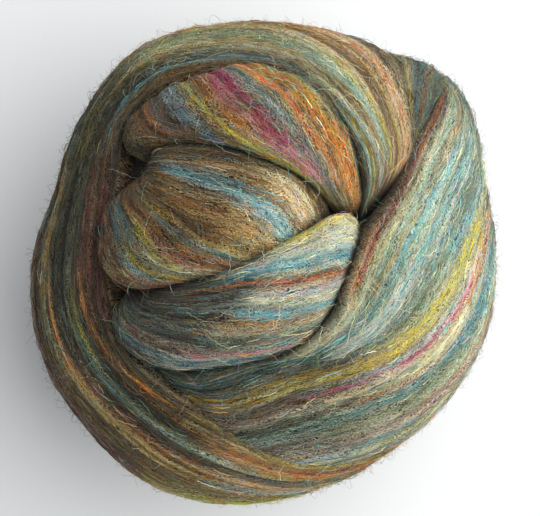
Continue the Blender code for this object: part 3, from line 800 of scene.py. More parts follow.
def wrap_shell(wrap, along_steps, across_steps, bake_cell=(0.0, 1.0)):
    """A wrap as a closed shell: its relief on top, and a plain underside inside the ball.

    Steps across are drawn together at the rims, by half the sum of an even and a cosine spacing.
    """
    winding = bpy.context.scene.wool_winding
    even = np.linspace(0, 1, across_steps)
    top = 0.5 * (even + 0.5 - 0.5 * np.cos(math.pi * even))
    ring = np.concatenate([top, UNDERSIDE])
    along, across = np.meshgrid(np.linspace(0, 1, along_steps), ring, indexing="ij")
    rises = wrap.rises(along, across) + wrap.relief(along, across)
    rises[:, across_steps:] = WRAP_DEPTH
    loops = on_ball(wrap.places(along, across), rises)
    points, quads, triangles, corners = shell(loops)
    flat = np.concatenate([quads.ravel(), triangles.ravel()])
    x, y = wrap.spread(np.append(along.ravel(), [0.0, 1.0]), np.append(across.ravel(), [0.5, 0.5]))
    along_map = np.stack([x[flat], y[flat] + PATTERN_STEP * (wrap.seed % 10)], -1)
    low, high = bake_cell
    bake_map = np.stack(
        [corners[:, 0] / (along_steps - 1), low + (high - low) * corners[:, 1] / len(ring)], -1
    )
    streak = 1 + SHADING.reach * (grain(SHADING, *wrap.spread(along, across), wrap.seed + 5) - 0.5)
    # Painted shade: each wrap's dyes are darkened in the valleys beside higher wraps, in the grooves of
    # its relief and on its hidden underside, and lightened on its ridges.
    light = valley_light(wrap.places(along, across), wrap.rises(along, across))
    light[:, across_steps:] *= BURIED_LIGHT
    groove = np.clip(1 + GROOVE_DEPTH * wrap.relief(along, across) / winding.ridge, *GROOVE_LIMITS)
    light = (winding.ground_light * light * groove * streak)[..., None]
    columns = []
    for shift in (0, SECOND_DYE_SHIFT):
        shares = wrap.shares(along, across, winding.streak_contrast, shift)
        mixed = np.tensordot(shares, dye_table(), axes=(0, 0))
        columns += [mixed * light, light * tone(mixed)]
    colours = np.concatenate(columns, axis=-1)
    ends = [colours[:1].mean(axis=1), colours[-1:].mean(axis=1)]
    colours = np.concatenate([colours.reshape(-1, 8)] + ends)
    return points, quads, triangles, along_map, bake_map, colours


# In the bake map a fibre has one cell: the gap on its left, its share, and the spots of its caps.
# In the map along the flow, fibres lie this many millimetres apart.
CELL_GAP = 0.04
CELL_SHARE = 0.92
CAP_SPOTS = np.array([[0.02, 0.3], [0.02, 0.5], [0.02, 0.7]])
FIBRE_SPACING = 3.7


def fibre_mesh(paths, ups, radii, colours):
    """Three-sided fibres along paths: rings of radius r about each point, and a cap at each end."""
    count, steps = paths.shape[:2]
    forward = unit(np.gradient(paths, axis=1))
    side = unit(np.cross(forward, ups))
    up = np.cross(side, forward)
    turn = np.arange(3) * 2 * math.pi / 3
    spokes = np.cos(turn)[:, None] * side[:, :, None] + np.sin(turn)[:, None] * up[:, :, None]
    points = paths[:, :, None] + spokes * radii[:, :, None, None]
    strand, step, edge = np.meshgrid(np.arange(count), np.arange(steps - 1), np.arange(3), indexing="ij")
    base = strand * steps * 3
    near, far = base + step * 3, base + (step + 1) * 3
    beside = (edge + 1) % 3
    quads = np.stack([near + edge, far + edge, far + beside, near + beside], -1).reshape(-1, 4)
    starts = np.arange(count) * steps * 3
    ends = starts + (steps - 1) * 3
    triangles = np.concatenate(
        [np.stack([starts, starts + 1, starts + 2], -1), np.stack([ends + 2, ends + 1, ends], -1)]
    )
    grid = math.ceil(math.sqrt(count))
    cell = np.stack([np.arange(count) % grid, np.arange(count) // grid], -1) / grid
    inner = np.stack(
        [
            np.stack([step, step + 1, step + 1, step], -1) / (steps - 1),
            np.stack([edge, edge, edge + 1, edge + 1], -1) / 3,
        ],
        -1,
    )
    quad_bake = cell[strand][..., None, :] + (CELL_GAP + CELL_SHARE * inner) / grid
    cap_bake = np.concatenate([cell[:, None] + CAP_SPOTS / grid] * 2)
    bake_map = np.concatenate([quad_bake.reshape(-1, 2), cap_bake.reshape(-1, 2)])
    length = np.cumsum(np.linalg.norm(np.diff(paths, axis=1, prepend=paths[:, :1]), axis=2), axis=1) / MM
    x = np.repeat(length[:, :, None], 3, axis=2).ravel()
    flat = np.concatenate([quads.ravel(), triangles.ravel()])
    y = np.repeat(np.arange(count) * FIBRE_SPACING, steps * 3)
    along_map = np.stack([x[flat], y[flat]], -1)
    shades = np.ones((count * steps * 3, 4))
    shades[:, :3] = np.repeat(colours, steps * 3, axis=0)
    return points.reshape(-1, 3), quads, triangles, along_map, bake_map, shades


# ---------------------------------------------------------------- materials


# The soft sheen of wool.
SHEEN = 0.10


class Value:
    """A socket of a node tree. Arithmetic on it adds Math nodes."""

    def __init__(self, shade, socket):
        self.shade = shade
        self.socket = socket

    def _math(self, operation, *values):
        return self.shade.node("ShaderNodeMath", {"operation": operation}, dict(enumerate(values)))

    def __add__(self, other):
        return self._math("ADD", self, other)

    def __sub__(self, other):
        return self._math("SUBTRACT", self, other)

    def __rsub__(self, other):
        return self._math("SUBTRACT", other, self)

    def __mul__(self, other):
        return self._math("MULTIPLY", self, other)

    def __truediv__(self, other):
        return self._math("DIVIDE", self, other)

    def sine(self):
        """Sine of the value."""
        return self._math("SINE", self)

    def size(self):
        """The value without its sign."""
        return self._math("ABSOLUTE", self)

    def floor(self):
        """The whole number below the value."""
        return self._math("FLOOR", self)

    def ramp(self, low, high):
        """0 below low and 1 above high, with an eased slope between them."""
        return self.shade.node(
            "ShaderNodeMapRange",
            {"interpolation_type": "SMOOTHSTEP"},
            {"Value": self, "From Min": low, "From Max": high},
        )

    __radd__ = __add__
    __rmul__ = __mul__


class Shade:
    """A node material under construction."""

    def __init__(self, name):
        self.material = bpy.data.materials.new(name)
        self.material.use_nodes = True
        self.tree = self.material.node_tree
        self.shader = self.tree.nodes["Principled BSDF"]

    def surface(self, roughness, gloss, sheen=0.0):
        """Set how rough the surface is, how strongly it mirrors, and how much soft sheen it has."""
        self.shader.inputs["Roughness"].default_value = roughness
        self.shader.inputs["Specular IOR Level"].default_value = gloss
        self.shader.inputs["Sheen Weight"].default_value = sheen

    def node(self, kind, settings=None, inputs=None, output=0):
        """Add a node: its settings first, then the values or links of its sockets."""
        node = self.tree.nodes.new(kind)
        for key, value in (settings or {}).items():
            if key == "stops":
                self.set_stops(node.color_ramp, value)
            else:
                setattr(node, key, value)
        for key, value in (inputs or {}).items():
            self.feed(node.inputs[key], value)
        return Value(self, node.outputs[output])

    @staticmethod
    def set_stops(ramp, stops):
        """Give a colour ramp its stops: pairs of a position and the name of a dye."""
        while len(ramp.elements) < len(stops):
            ramp.elements.new(1.0)
        for element, (position, dye) in zip(ramp.elements, stops):
            element.position = position
            element.color = tuple(linear(DYES[dye])) + (1.0,)

    def feed(self, socket, value):
        """Link a Value to a socket, or set the socket to a number."""
        if isinstance(value, Value):
            self.tree.links.new(value.socket, socket)
        else:
            socket.default_value = value

    def noise(self, x, y, detail=0.0, output="Fac"):
        """Noise of two coordinates, from 0 to 1."""
        spot = self.node("ShaderNodeCombineXYZ", None, {"X": x, "Y": y})
        values = {"Vector": spot, "Scale": 1.0, "Detail": detail}
        return self.node("ShaderNodeTexNoise", {"noise_dimensions": "2D"}, values, output)

    def parts(self, source, count):
        """The first few of a vector's three parts."""
        first = self.node("ShaderNodeSeparateXYZ", None, {0: source})
        return [Value(self, first.socket.node.outputs[index]) for index in range(count)]

    def traits(self, x, y):
        """Three separate noises of two coordinates, each from 0 to 1."""
        return self.parts(self.noise(x, y, output="Color"), 3)

    def mix(self, factor, first, second):
        """First colour turned towards the second by the factor."""
        values = {0: factor, 6: first, 7: second}
        return self.node("ShaderNodeMix", {"data_type": "RGBA"}, values, output=2)

    def brighten(self, colour, amount):
        """A colour times a number."""
        spread = self.node("ShaderNodeCombineXYZ", None, {"X": amount, "Y": amount, "Z": amount})
        return self.node("ShaderNodeVectorMath", {"operation": "MULTIPLY"}, {0: colour, 1: spread})

    def lift(self, colour, amount):
        """A colour made lighter or darker but never past white: c a / (1 + c (a - 1))."""
        top = self.node("ShaderNodeVectorMath", {"operation": "SCALE"}, {0: colour, "Scale": amount})
        more = self.node("ShaderNodeVectorMath", {"operation": "SCALE"}, {0: colour, "Scale": amount - 1})
        bottom = self.node("ShaderNodeVectorMath", {"operation": "ADD"}, {0: more, 1: (1.0, 1.0, 1.0)})
        return self.node("ShaderNodeVectorMath", {"operation": "DIVIDE"}, {0: top, 1: bottom})


# A layer of fibres, the lowest first: its slant to the lock, the spacing of its fibres, their half
# width as a share of the spacing, the length of one along the lock, its lightness, and how far it
# takes a mixed dye. The lightness is painted light: the upper layers are made lighter, as if more lit
# than the ones they cover.
Layer = namedtuple("Layer", "slant spacing half_line stretch lightness heather")
LAYERS = (
    Layer(0.00, 0.65, 0.34, 10, 0.50, 0.06),
    Layer(0.10, 0.70, 0.27, 9, 1.00, 0.12),
    Layer(-0.14, 0.80, 0.23, 8, 1.80, 0.16),
    Layer(0.22, 0.95, 0.18, 6, 3.40, 0.25),
    Layer(-0.44, 1.20, 0.13, 5, 5.80, 0.36),
    Layer(0.52, 1.30, 0.125, 5, 6.60, 0.38),
    Layer(0.03, 0.90, 0.16, 10, 6.80, 0.18),
)

# The share of a half line that is fully covered, the painted shade of the wool below the layers,
# which darkens the gaps between the fibres, and how much of the painted light a mixed dye takes.
FIRM_SHARE = 0.6
PAINTED_GAP_SHADE = 0.05
HEATHER_LIGHT = 0.85

# Two crimps, which the layers take in turn: a wave and a reach against the crimp setting, and the
# shift of its noise.
Crimp = namedtuple("Crimp", "wave reach shift")
CRIMPS = (Crimp(1.0, 0.15, 0.0), Crimp(0.8, 0.13, 40.0))

# How each fibre sways in its lane: the length of one sway, and its reach in lanes. Then where the
# noise of a fibre sinks it out of sight, where it takes its lock's second dye, and how its
# lightness grows with it: painted light on the fibres that lie high, painted shade on those that sink.
SWAY_LENGTH = 2.4
SWAY_REACH = 0.8
SUNK = (0.38, 0.48)
SECOND_DYE = (0.46, 0.54)
LIGHTNESS_GAIN = 2.0
LIGHTNESS_LOSS = 0.1

# Steps between the noises of the layers, and of the lanes.
LAYER_STEP = 17.0
SWAY_LAYER_STEP = 9.0
TRAIT_LAYER_STEP = 5.0
SWAY_LANE_STEP = 3.71
TRAIT_LANE_STEP = 7.37

# Height of a fibre of the lowest layer in the bump, and how much more each layer above has.
LOW_HEIGHT = 0.3
MORE_HEIGHT = 0.15
BUMP_DISTANCE = 0.30 * MM


@lru_cache(maxsize=None)
def lock_material():
    """Combed wool: layers of fine crimped fibres, the upper ones lighter by painted light and more
    aslant.

    Each layer is cut into lanes along the lock, with one fibre in the middle of each lane. Its cover
    is 1 at the middle and eases to 0 at the layer's half line. Noise of the lane's number makes the
    fibre sway, gives its dye and sinks it in places.
    """
    crimp_length = bpy.context.scene.wool_winding.crimp / MM
    shade = Shade("combed_wool")
    x, y = shade.parts(shade.node("ShaderNodeUVMap", {"uv_map": "along"}), 2)
    own = shade.node("ShaderNodeAttribute", {"attribute_name": "dye"})
    # The fourth value of the dye holds the painted light there times the dye's tone, which the mixed dyes
    # take too.
    light = Value(shade, own.socket.node.outputs["Alpha"])
    other = shade.node("ShaderNodeAttribute", {"attribute_name": "second_dye"})
    y = y + shade.noise(x / LOCK_WANDER.length, y / LOCK_WANDER.width) * LOCK_WANDER.reach
    waves = []
    for crimp in CRIMPS:
        phase = shade.noise(x / CRIMP_PHASE.length + crimp.shift, y / CRIMP_PHASE.width + crimp.shift)
        turn = x * (2 * math.pi / (crimp.wave * crimp_length)) + phase * CRIMP_PHASE.reach
        waves.append(turn.sine() * (crimp.reach * crimp_length))
    # Painted shade: the ground below the fibres is darkened, so that the gaps between them look shaded.
    colour = shade.lift(own, PAINTED_GAP_SHADE)
    height = 0.0
    for number, layer in enumerate(LAYERS):
        across = y + x * layer.slant + waves[number % 2] + LAYER_STEP * number
        place = across / layer.spacing
        lane = place.floor()
        sway = shade.noise(x / SWAY_LENGTH + SWAY_LAYER_STEP * number, lane * SWAY_LANE_STEP)
        off = (place - lane - 0.5 - (sway * SWAY_REACH - SWAY_REACH / 2)).size()
        stretch = x / layer.stretch + TRAIT_LAYER_STEP * number
        seen, hue, side = shade.traits(stretch, lane * TRAIT_LANE_STEP)
        cover = off.ramp(layer.half_line, FIRM_SHARE * layer.half_line) * seen.ramp(*SUNK)
        tint = shade.node("ShaderNodeValToRGB", {"stops": HEATHER}, {"Fac": hue})
        base = shade.mix(side.ramp(*SECOND_DYE), own, other)
        pale = shade.brighten(tint, light * HEATHER_LIGHT)
        # Painted light: the upper layers and the fibres that lie high are made lighter, those that sink
        # darker.
        lightness = (seen * LIGHTNESS_GAIN - LIGHTNESS_LOSS) * layer.lightness
        fibre = shade.mix(layer.heather, shade.lift(base, lightness), pale)
        colour = shade.mix(cover, colour, fibre)
        height = cover * (LOW_HEIGHT + MORE_HEIGHT * number) + height
    shade.feed(shade.shader.inputs["Base Color"], colour)
    relief = {"Strength": 1.0, "Distance": BUMP_DISTANCE, "Height": height}
    bump = shade.node("ShaderNodeBump", None, relief)
    shade.feed(shade.shader.inputs["Normal"], bump)
    shade.surface(0.82, 0.15, SHEEN)
    return shade.material


# The lighter and darker stretches of a loose fibre, painted glints and shade along its crimp: their
# length in millimetres, and their light.
STRETCH_LENGTH = 2.2
FIBRE_LOW_LIGHT = 0.7
FIBRE_MORE_LIGHT = 0.6


@lru_cache(maxsize=None)
def fibre_material():
    """A single fibre or fine lock, in its own dye with painted glints and shade in lighter and darker
    stretches.
    """
    shade = Shade("loose_fibre")
    x, y = shade.parts(shade.node("ShaderNodeUVMap", {"uv_map": "along"}), 2)
    dye = shade.node("ShaderNodeAttribute", {"attribute_name": "dye"})
    # Painted glints: the fibre's colour is lightened and darkened in stretches, standing in for the
    # glints of its crimp.
    light = FIBRE_LOW_LIGHT + shade.noise(x / STRETCH_LENGTH, y, detail=1.0) * FIBRE_MORE_LIGHT
    shade.feed(shade.shader.inputs["Base Color"], shade.brighten(dye, light))
    shade.surface(0.75, 0.3, SHEEN)
    return shade.material


# ---------------------------------------------------------------- settings


def a_number(name, description, default, **limits):
    """A setting that is a plain number."""
    return bpy.props.FloatProperty(name=name, description=description, default=default, **limits)


def a_length(name, description, default, **limits):
    """A setting that is a length in metres."""
    return a_number(name, description, default, unit="LENGTH", **limits)


def a_colour(name, description, default):
    """A setting that is a colour, as it is seen in even light."""
    return bpy.props.FloatVectorProperty(
        name=name, description=description, default=default, subtype="COLOR_GAMMA", min=0.0, max=1.0
    )


class WoolWinding(bpy.types.PropertyGroup):
    """Sizes of the ridges, fibres and loose hairs. Densities are numbers to a square centimetre."""

    ridge: a_length("Ridge", "Height of the widest ridges between locks", 0.65 * MM)
    crimp: a_length("Crimp", "Length of one wave of a fibre", 1.6 * MM)
    streak_contrast: a_number("Streaks", "How sharply one dye parts from the next", 7.5, min=0.0)
    richness: a_number("Richness", "How far each dye stands from its own grey", 1.30, min=0.0)
    ground_light: a_number("Ground", "Brightness of the locks under the loose fibres", 1.0, min=0.0)
    strand_density: a_number("Strands", "Density of the strands that lie with the locks", 10.5, min=0.0)
    strand_radius: a_length("Strand radius", "Mean radius of a strand", 0.08 * MM, precision=5)
    hair_density: a_number("Stray hairs", "Density of the crimped hairs across the locks", 4.1, min=0.0)
    hair_radius: a_length("Hair radius", "Mean radius of a stray hair", 0.034 * MM, precision=5)
    fuzz_density: a_number("Fuzz", "Density of the hairs that stand off the sides", 11.5, min=0.0)
    fuzz_reach: a_length("Fuzz reach", "How far the longest hairs stand off", 5.0 * MM)


class WoolDyes(bpy.types.PropertyGroup):
    """Colours of the dyed fibres."""

    __annotations__ = {
        name: a_colour(name.replace("_", " ").capitalize(), "Colour of these fibres in even light", shade)
        for name, shade in DYES.items()
    }


class WoolStage(bpy.types.PropertyGroup):
    """Floor, light and camera."""

    floor: a_colour("Floor", "Colour of the floor", (0.875, 0.880, 0.880))
    key_power: a_number("Key light", "Power of the soft light from the right", 16.5, unit="POWER")
    key_size: a_length("Key size", "Side of the soft light", 1.3)
    sky: a_colour("Sky", "Colour of the light all round", (0.97, 0.98, 1.0))
    sky_strength: a_number("Sky strength", "Strength of the light all round", 0.46, min=0.0)
    lens: a_number("Lens", "Focal length in millimetres", 91.5, min=1.0)
    camera_height: a_length("Camera height", "Height of the camera over the floor", 0.512)


# ---------------------------------------------------------------- operators


# The inner turns: rows and columns, the angle at each end of the rows, millimetres in the map, and
# the light left in their painted shade.
INNER_GRID = (40, 72)
INNER_END = 0.02
INNER_MAP = (200.0, 400.0)
INNER_LIGHT = 0.3


class WOOL_OT_inner_turns(bpy.types.Operator):
    """Add the inner turns, which show only in the valleys between the wraps."""

    bl_idname = "wool.inner_turns"
    bl_label = "Inner Turns"

    def execute(self, context):
        rows, around = INNER_GRID
        drops = np.linspace(INNER_END, math.pi - INNER_END, rows)
        drop, bearing = np.meshgrid(drops, np.arange(around) * 2 * math.pi / around, indexing="ij")
        level = np.sin(drop)
        places = np.stack([level * np.cos(bearing), level * np.sin(bearing), np.cos(drop)], -1)
        points, quads, triangles, corners = shell(on_ball(places, np.full(drop.shape, CORE_RISE)))
        bake_map = corners / [rows - 1, around]
        along_map = bake_map * INNER_MAP
        # Painted shade: the inner turns show only in the valleys, so they take the darkest dye, darkened
        # more.
        shade = np.append(linear(DYES["black_brown"]) * INNER_LIGHT, INNER_LIGHT)
        colours = np.tile(shade, (len(points), 2))
        add_piece("inner_turns", points, quads, triangles, along_map, bake_map, colours, lock_material())
        return {"FINISHED"}


# Steps along and across the wraps that show.
FOLD_STEPS = {
    "upper_fold": (90, 120), "middle_fold": (90, 120), "lower_fold": (90, 120), "corner_wrap": (44, 50)
}
BAND_STEPS = (150, 150)


class WOOL_OT_folds(bpy.types.Operator):
    """Add the three folds on top and the narrow wrap at the corner."""

    bl_idname = "wool.folds"
    bl_label = "Folds"

    def execute(self, context):
        for name, steps in FOLD_STEPS.items():
            add_piece(name, *wrap_shell(wraps()[name], *steps), lock_material())
        return {"FINISHED"}


class WOOL_OT_bands(bpy.types.Operator):
    """Add the two wide bands that run round the sides."""

    bl_idname = "wool.bands"
    bl_label = "Bands"

    def execute(self, context):
        for name in ("right_band", "over_band"):
            add_piece(name, *wrap_shell(wraps()[name], *BAND_STEPS), lock_material())
        return {"FINISHED"}


# Steps along and across each wrap under the ball, and how much of its cell of the bake map it fills.
UNDER_STEPS = (44, 36)
UNDER_CELL_SHARE = 0.97


class WOOL_OT_under_wraps(bpy.types.Operator):
    """Add the wraps that cross the foot of the ball, as one piece."""

    bl_idname = "wool.under_wraps"
    bl_label = "Under Wraps"

    def execute(self, context):
        count = len(UNDER_WRAPS)
        parts = []
        for index in range(count):
            wrap = wraps()[f"under_wrap_{index + 1}"]
            cell = (index / count, (index + UNDER_CELL_SHARE) / count)
            parts.append(wrap_shell(wrap, *UNDER_STEPS, cell))
        add_piece("under_wraps", *join_shells(parts), lock_material())
        return {"FINISHED"}


# How thick the strands lie on each wrap, against the density that is set.
STRAND_SHARES = {
    "upper_fold": 2.4,
    "middle_fold": 2.4,
    "lower_fold": 2.4,
    "corner_wrap": 1.0,
    "right_band": 1.35,
    "over_band": 1.1,
    "under_wrap": 0.25,
}


# A fibre's colour: how sharply the dyes part, the share of its own dye against the mean there, and
# its lightness. Then the lightness of stray dyes.
FIBRE_CONTRAST = 1.5
FIBRE_OWN_SHARE = 0.75
FIBRE_LIGHTNESS = (0.5, 2.1)
STRAY_LIGHTNESS = (0.8, 1.5)

# A strand's points, its steps against half a crimp, its slant, with a share that lie more skew, its
# curve, and how near it comes to the ends and sides of its wrap.
STRAND_POINTS = 8
STRAND_STEPS = (0.8, 1.25)
SKEW_SHARE = 0.25
SKEW_SLANT = 0.4
STRAND_SLANT = 0.15
STRAND_CURVE = 0.012
STRAND_ALONG = (0.005, 0.995)
STRAND_ACROSS = (0.003, 0.997)

# Its zigzag against half a crimp, and how uneven that is from point to point.
STRAND_ZIGZAG = (0.05, 0.26)
STRAND_UNEVEN = (0.6, 1.4)

# Its mean height in millimetres, how deep its ends go in, its radius against the setting, how far
# its ends taper, the share of strands in a stray dye, and the seeds.
STRAND_HEIGHT = 0.20
STRAND_SINK = 0.12 * MM
STRAND_RADII = (0.55, 1.5)
STRAND_TAPER = 0.6
STRAND_PALE_SHARE = 0.15
STRAND_SEED = 500
UNDER_STRAND_SEED = 600


def arch(steps):
    """A hump over the points of a fibre, 0 at its ends and 1 in its middle: 1 - |2t - 1|^3."""
    return 1 - np.abs(2 * np.linspace(0, 1, steps)[None, :] - 1) ** 3


def to_and_fro(steps):
    """One and minus one in turn."""
    return np.where(np.arange(steps) % 2 == 0, 1.0, -1.0)[None, :]


def lifted(colours, amounts):
    """Colours made lighter or darker but never past white: c a / (1 + c (a - 1))."""
    return colours * amounts / (1 + colours * (amounts - 1))


def fibre_dyes_with_painted_shade(wrap, along, across, rng):
    """Colours of fibres at places on a wrap: each takes one dye, by the shares of the dyes there, and is
    darkened by the painted shade of the valleys.
    """
    count = len(along)
    shares = wrap.shares(along, across, FIBRE_CONTRAST)
    pick = (shares.cumsum(axis=0) < rng.random(count)).sum(axis=0).clip(0, len(DYE_NAMES) - 1)
    own = dye_table()[pick]
    mean = np.tensordot(shares, dye_table(), axes=(0, 0))
    # Painted shade: fibres beside a higher wrap are darkened in their colour, as the shade of the valley.
    light = valley_light(wrap.places(along, across), wrap.rises(along, across))
    blended = own * FIBRE_OWN_SHARE + mean * (1 - FIBRE_OWN_SHARE)
    return lifted(blended, rng.uniform(*FIBRE_LIGHTNESS, (count, 1))) * light[:, None]


def stray_colours(own, pale_share, rng):
    """The hairs' own dyes, a share of them changed for random pale ones, which take the tone of the own
    colours and so their painted valley shade.
    """
    count = len(own)
    pick = rng.choice([DYE_NAMES.index(name) for name in STRAY_DYES], count)
    pale = dye_table()[pick] * rng.uniform(*STRAY_LIGHTNESS, count)[:, None] * tone(own)
    return np.where(rng.random(count)[:, None] < pale_share, pale, own)


def crimped_set(wrap, density, rng):
    """Crimped fibres on one wrap, nearly along its flow.

    A fibre goes ahead half a crimp at a time at its own small slant, and steps from side to side
    by its crimp. The lift at share t along it is 1 - |2t - 1|^3 of its height, less its sink.
    """
    winding = bpy.context.scene.wool_winding
    along, across = roots(wrap, winding.strand_density * density, rng)
    count, steps = len(along), STRAND_POINTS
    ahead = (np.arange(steps) - (steps - 1) / 2)[None, :]
    half = winding.crimp / 2 * rng.uniform(*STRAND_STEPS, count)[:, None]
    slants = rng.normal(0, 1, count)
    slant = (slants * np.where(rng.random(count) < SKEW_SHARE, SKEW_SLANT, STRAND_SLANT))[:, None]
    curve = rng.normal(0, STRAND_CURVE, count)[:, None]
    side = ahead * half * slant + half * curve * ahead**2
    zigzag = to_and_fro(steps) * rng.choice([-1, 1], count)[:, None] * half
    zigzag = zigzag * rng.uniform(*STRAND_ZIGZAG, (count, 1))
    side = side + zigzag * rng.uniform(*STRAND_UNEVEN, (count, steps))
    along_path = np.clip(along[:, None] + ahead * half / wrap.length, *STRAND_ALONG)
    width = smooth_at(wrap.widths, along_path)[..., 0]
    across_path = np.clip(across[:, None] + side / width, *STRAND_ACROSS)
    height = rng.exponential(STRAND_HEIGHT, count)[:, None] * MM
    lift = (STRAND_SINK + height) * arch(steps) - STRAND_SINK
    ups = wrap.normals(along_path, across_path)
    paths = settle(wrap.points(along_path, across_path, 0.0) + ups * lift[..., None])
    radii = winding.strand_radius * rng.uniform(*STRAND_RADII, count)[:, None]
    radii = radii * (1 - STRAND_TAPER + STRAND_TAPER * arch(steps))
    colours = stray_colours(fibre_dyes_with_painted_shade(wrap, along, across, rng), STRAND_PALE_SHARE, rng)
    return fibre_mesh(paths, ups, radii, colours)


class WOOL_OT_strands(bpy.types.Operator):
    """Add the strands that lie with the locks of each wrap."""

    bl_idname = "wool.strands"
    bl_label = "Strands"

    def execute(self, context):
        for seed, (name, wrap) in enumerate(wraps().items()):
            if name.startswith("under_wrap"):
                continue
            rng = np.random.default_rng(STRAND_SEED + seed)
            strands = crimped_set(wrap, STRAND_SHARES[name], rng)
            add_piece(f"{name}_strands", *strands, fibre_material())
        parts = []
        for index in range(len(UNDER_WRAPS)):
            rng = np.random.default_rng(UNDER_STRAND_SEED + index)
            wrap = wraps()[f"under_wrap_{index + 1}"]
            parts.append(crimped_set(wrap, STRAND_SHARES["under_wrap"], rng))
        add_piece("under_wraps_strands", *join_shells(parts), fibre_material())
        return {"FINISHED"}


def ball_paths(places, headings, bends, step):
    """Paths over the unit sphere: each step goes ahead by an angle, and the heading turns by a bend."""
    found = [places]
    for bend in bends.T:
        side = np.cross(places, headings)
        headings = headings * np.cos(bend)[:, None] + side * np.sin(bend)[:, None]
        moved = unit(places + headings * step[:, None])
        headings = unit(headings - moved * np.einsum("ij,ij->i", headings, moved)[:, None])
        places = moved
        found.append(places)
    return np.stack(found, axis=1)


# How far ahead along a wrap its flow is read.
FLOW_STEP = 0.01


def gather_roots(density, rng):
    """Places, rises, flow and dyes of random roots over all that shows of the ball, the dyes with painted
    valley shade.
    """
    places, rises, flows, dyes = [], [], [], []
    for wrap in wraps().values():
        along, across = roots(wrap, density, rng)
        here = wrap.places(along, across)
        ahead = wrap.places(np.clip(along + FLOW_STEP, 0, 1), across)
        places.append(here)
        rises.append(wrap.rises(along, across))
        flows.append(unit(ahead - here + 1e-9))
        dyes.append(fibre_dyes_with_painted_shade(wrap, along, across, rng))
    return tuple(np.concatenate(found) for found in (places, rises, flows, dyes))


# The course of a loose hair: its points, its random turn to the flow, its steps in millimetres, its
# steady bend, its random kinks and its zigzag, in radians at each step.
Course = namedtuple("Course", "points turn steps bend kink zigzag")
STRAY_COURSE = Course(8, 0.6, (0.55, 1.3), 0.05, 0.12, (0.2, 0.6))


def hair_spots(places, flows, course, rng):
    """Paths of hairs over the unit sphere, each at a random turn to the flow, by their course."""
    count = len(places)
    turn = rng.normal(0, course.turn, count)
    side = np.cross(places, flows)
    headings = flows * np.cos(turn)[:, None] + side * np.sin(turn)[:, None]
    headings *= rng.choice([-1.0, 1.0], count)[:, None]
    step = rng.uniform(*course.steps, count) * MM / CORE_RADII.mean()
    bends = rng.normal(0, course.bend, count)[:, None]
    bends = bends + rng.normal(0, course.kink, (count, course.points - 1))
    bends = bends + to_and_fro(course.points - 1) * rng.uniform(*course.zigzag, count)[:, None]
    return ball_paths(places, headings, bends, step)


# Stray hairs bridge the valleys: the cover under them is smoothed so many times. Then their lift in
# millimetres, how deep their ends go in, their radii, the share in a stray dye, and the seed.
STRAY_SMOOTHING = 3
STRAY_LIFT = (0.2, 0.6)
STRAY_SINK = 0.15 * MM
STRAY_RADII = (0.6, 1.5)
STRAY_PALE_SHARE = 0.7
STRAY_SEED = 901


def side_by_side(rises):
    """Heights along paths, each with those of the points before and after it."""
    padded = np.pad(rises, ((0, 0), (1, 1)), mode="edge")
    return padded[:, :-2], rises, padded[:, 2:]


class WOOL_OT_stray_hairs(bpy.types.Operator):
    """Add the fine crimped hairs that lie across the locks and bridge the valleys."""

    bl_idname = "wool.stray_hairs"
    bl_label = "Stray Hairs"

    def execute(self, context):
        winding = context.scene.wool_winding
        rng = np.random.default_rng(STRAY_SEED)
        places, _, flows, dyes = gather_roots(winding.hair_density, rng)
        count, steps = len(places), STRAY_COURSE.points
        spots = hair_spots(places, flows, STRAY_COURSE, rng)
        rises = np.maximum.reduce(side_by_side(cover_map()[cover_cells(spots)]))
        for _ in range(STRAY_SMOOTHING):
            before, here, after = side_by_side(rises)
            rises = (before + 2 * here + after) / 4
        lift = rng.uniform(*STRAY_LIFT, count)[:, None] * MM
        paths = on_ball(spots, rises + lift * arch(steps) - STRAY_SINK)
        radii = winding.hair_radius * rng.uniform(*STRAY_RADII, count)[:, None] * np.ones((1, steps))
        mesh = fibre_mesh(paths, outwards(spots), radii, stray_colours(dyes, STRAY_PALE_SHARE, rng))
        add_piece("stray_hairs", *mesh, fibre_material())
        return {"FINISHED"}


# A set of fuzz: its seed, its density and reach against the settings, the share of it that stands
# away from the sides of the ball, and the course of its hairs.
FuzzSet = namedtuple("FuzzSet", "piece seed density reach away course")
FUZZ_SETS = (
    FuzzSet("fuzz", 977, 1.0, 1.0, 0.35, Course(6, 0.8, (0.4125, 1.0875), 0.3, 0.25, (0.2, 0.9))),
    FuzzSet("down", 978, 1.15, 0.5, 0.08, Course(5, 0.8, (0.3025, 0.7975), 0.3, 0.25, (0.2, 0.9))),
)

# The sides, where fuzz stands thickest: their level in the ball's outward direction, and how far
# they reach above and below it.
SIDE_LEVEL = 0.12
SIDE_BELT = 0.40

# The draw for a hair's reach, which leaves most of them short, the share of them that are loops,
# and the power by which a free hair lifts. Then how deep the ends go in, the radii against the
# setting, the taper, and the share of the fuzz in a stray dye.
REACH_DRAW = (1.2, 3.2)
LOOP_SHARE = 0.45
FREE_POWER = 1.3
FUZZ_SINK = 0.2 * MM
FUZZ_RADII = (1.0, 1.8)
FUZZ_TAPER = 0.4
FUZZ_PALE_SHARE = 0.35


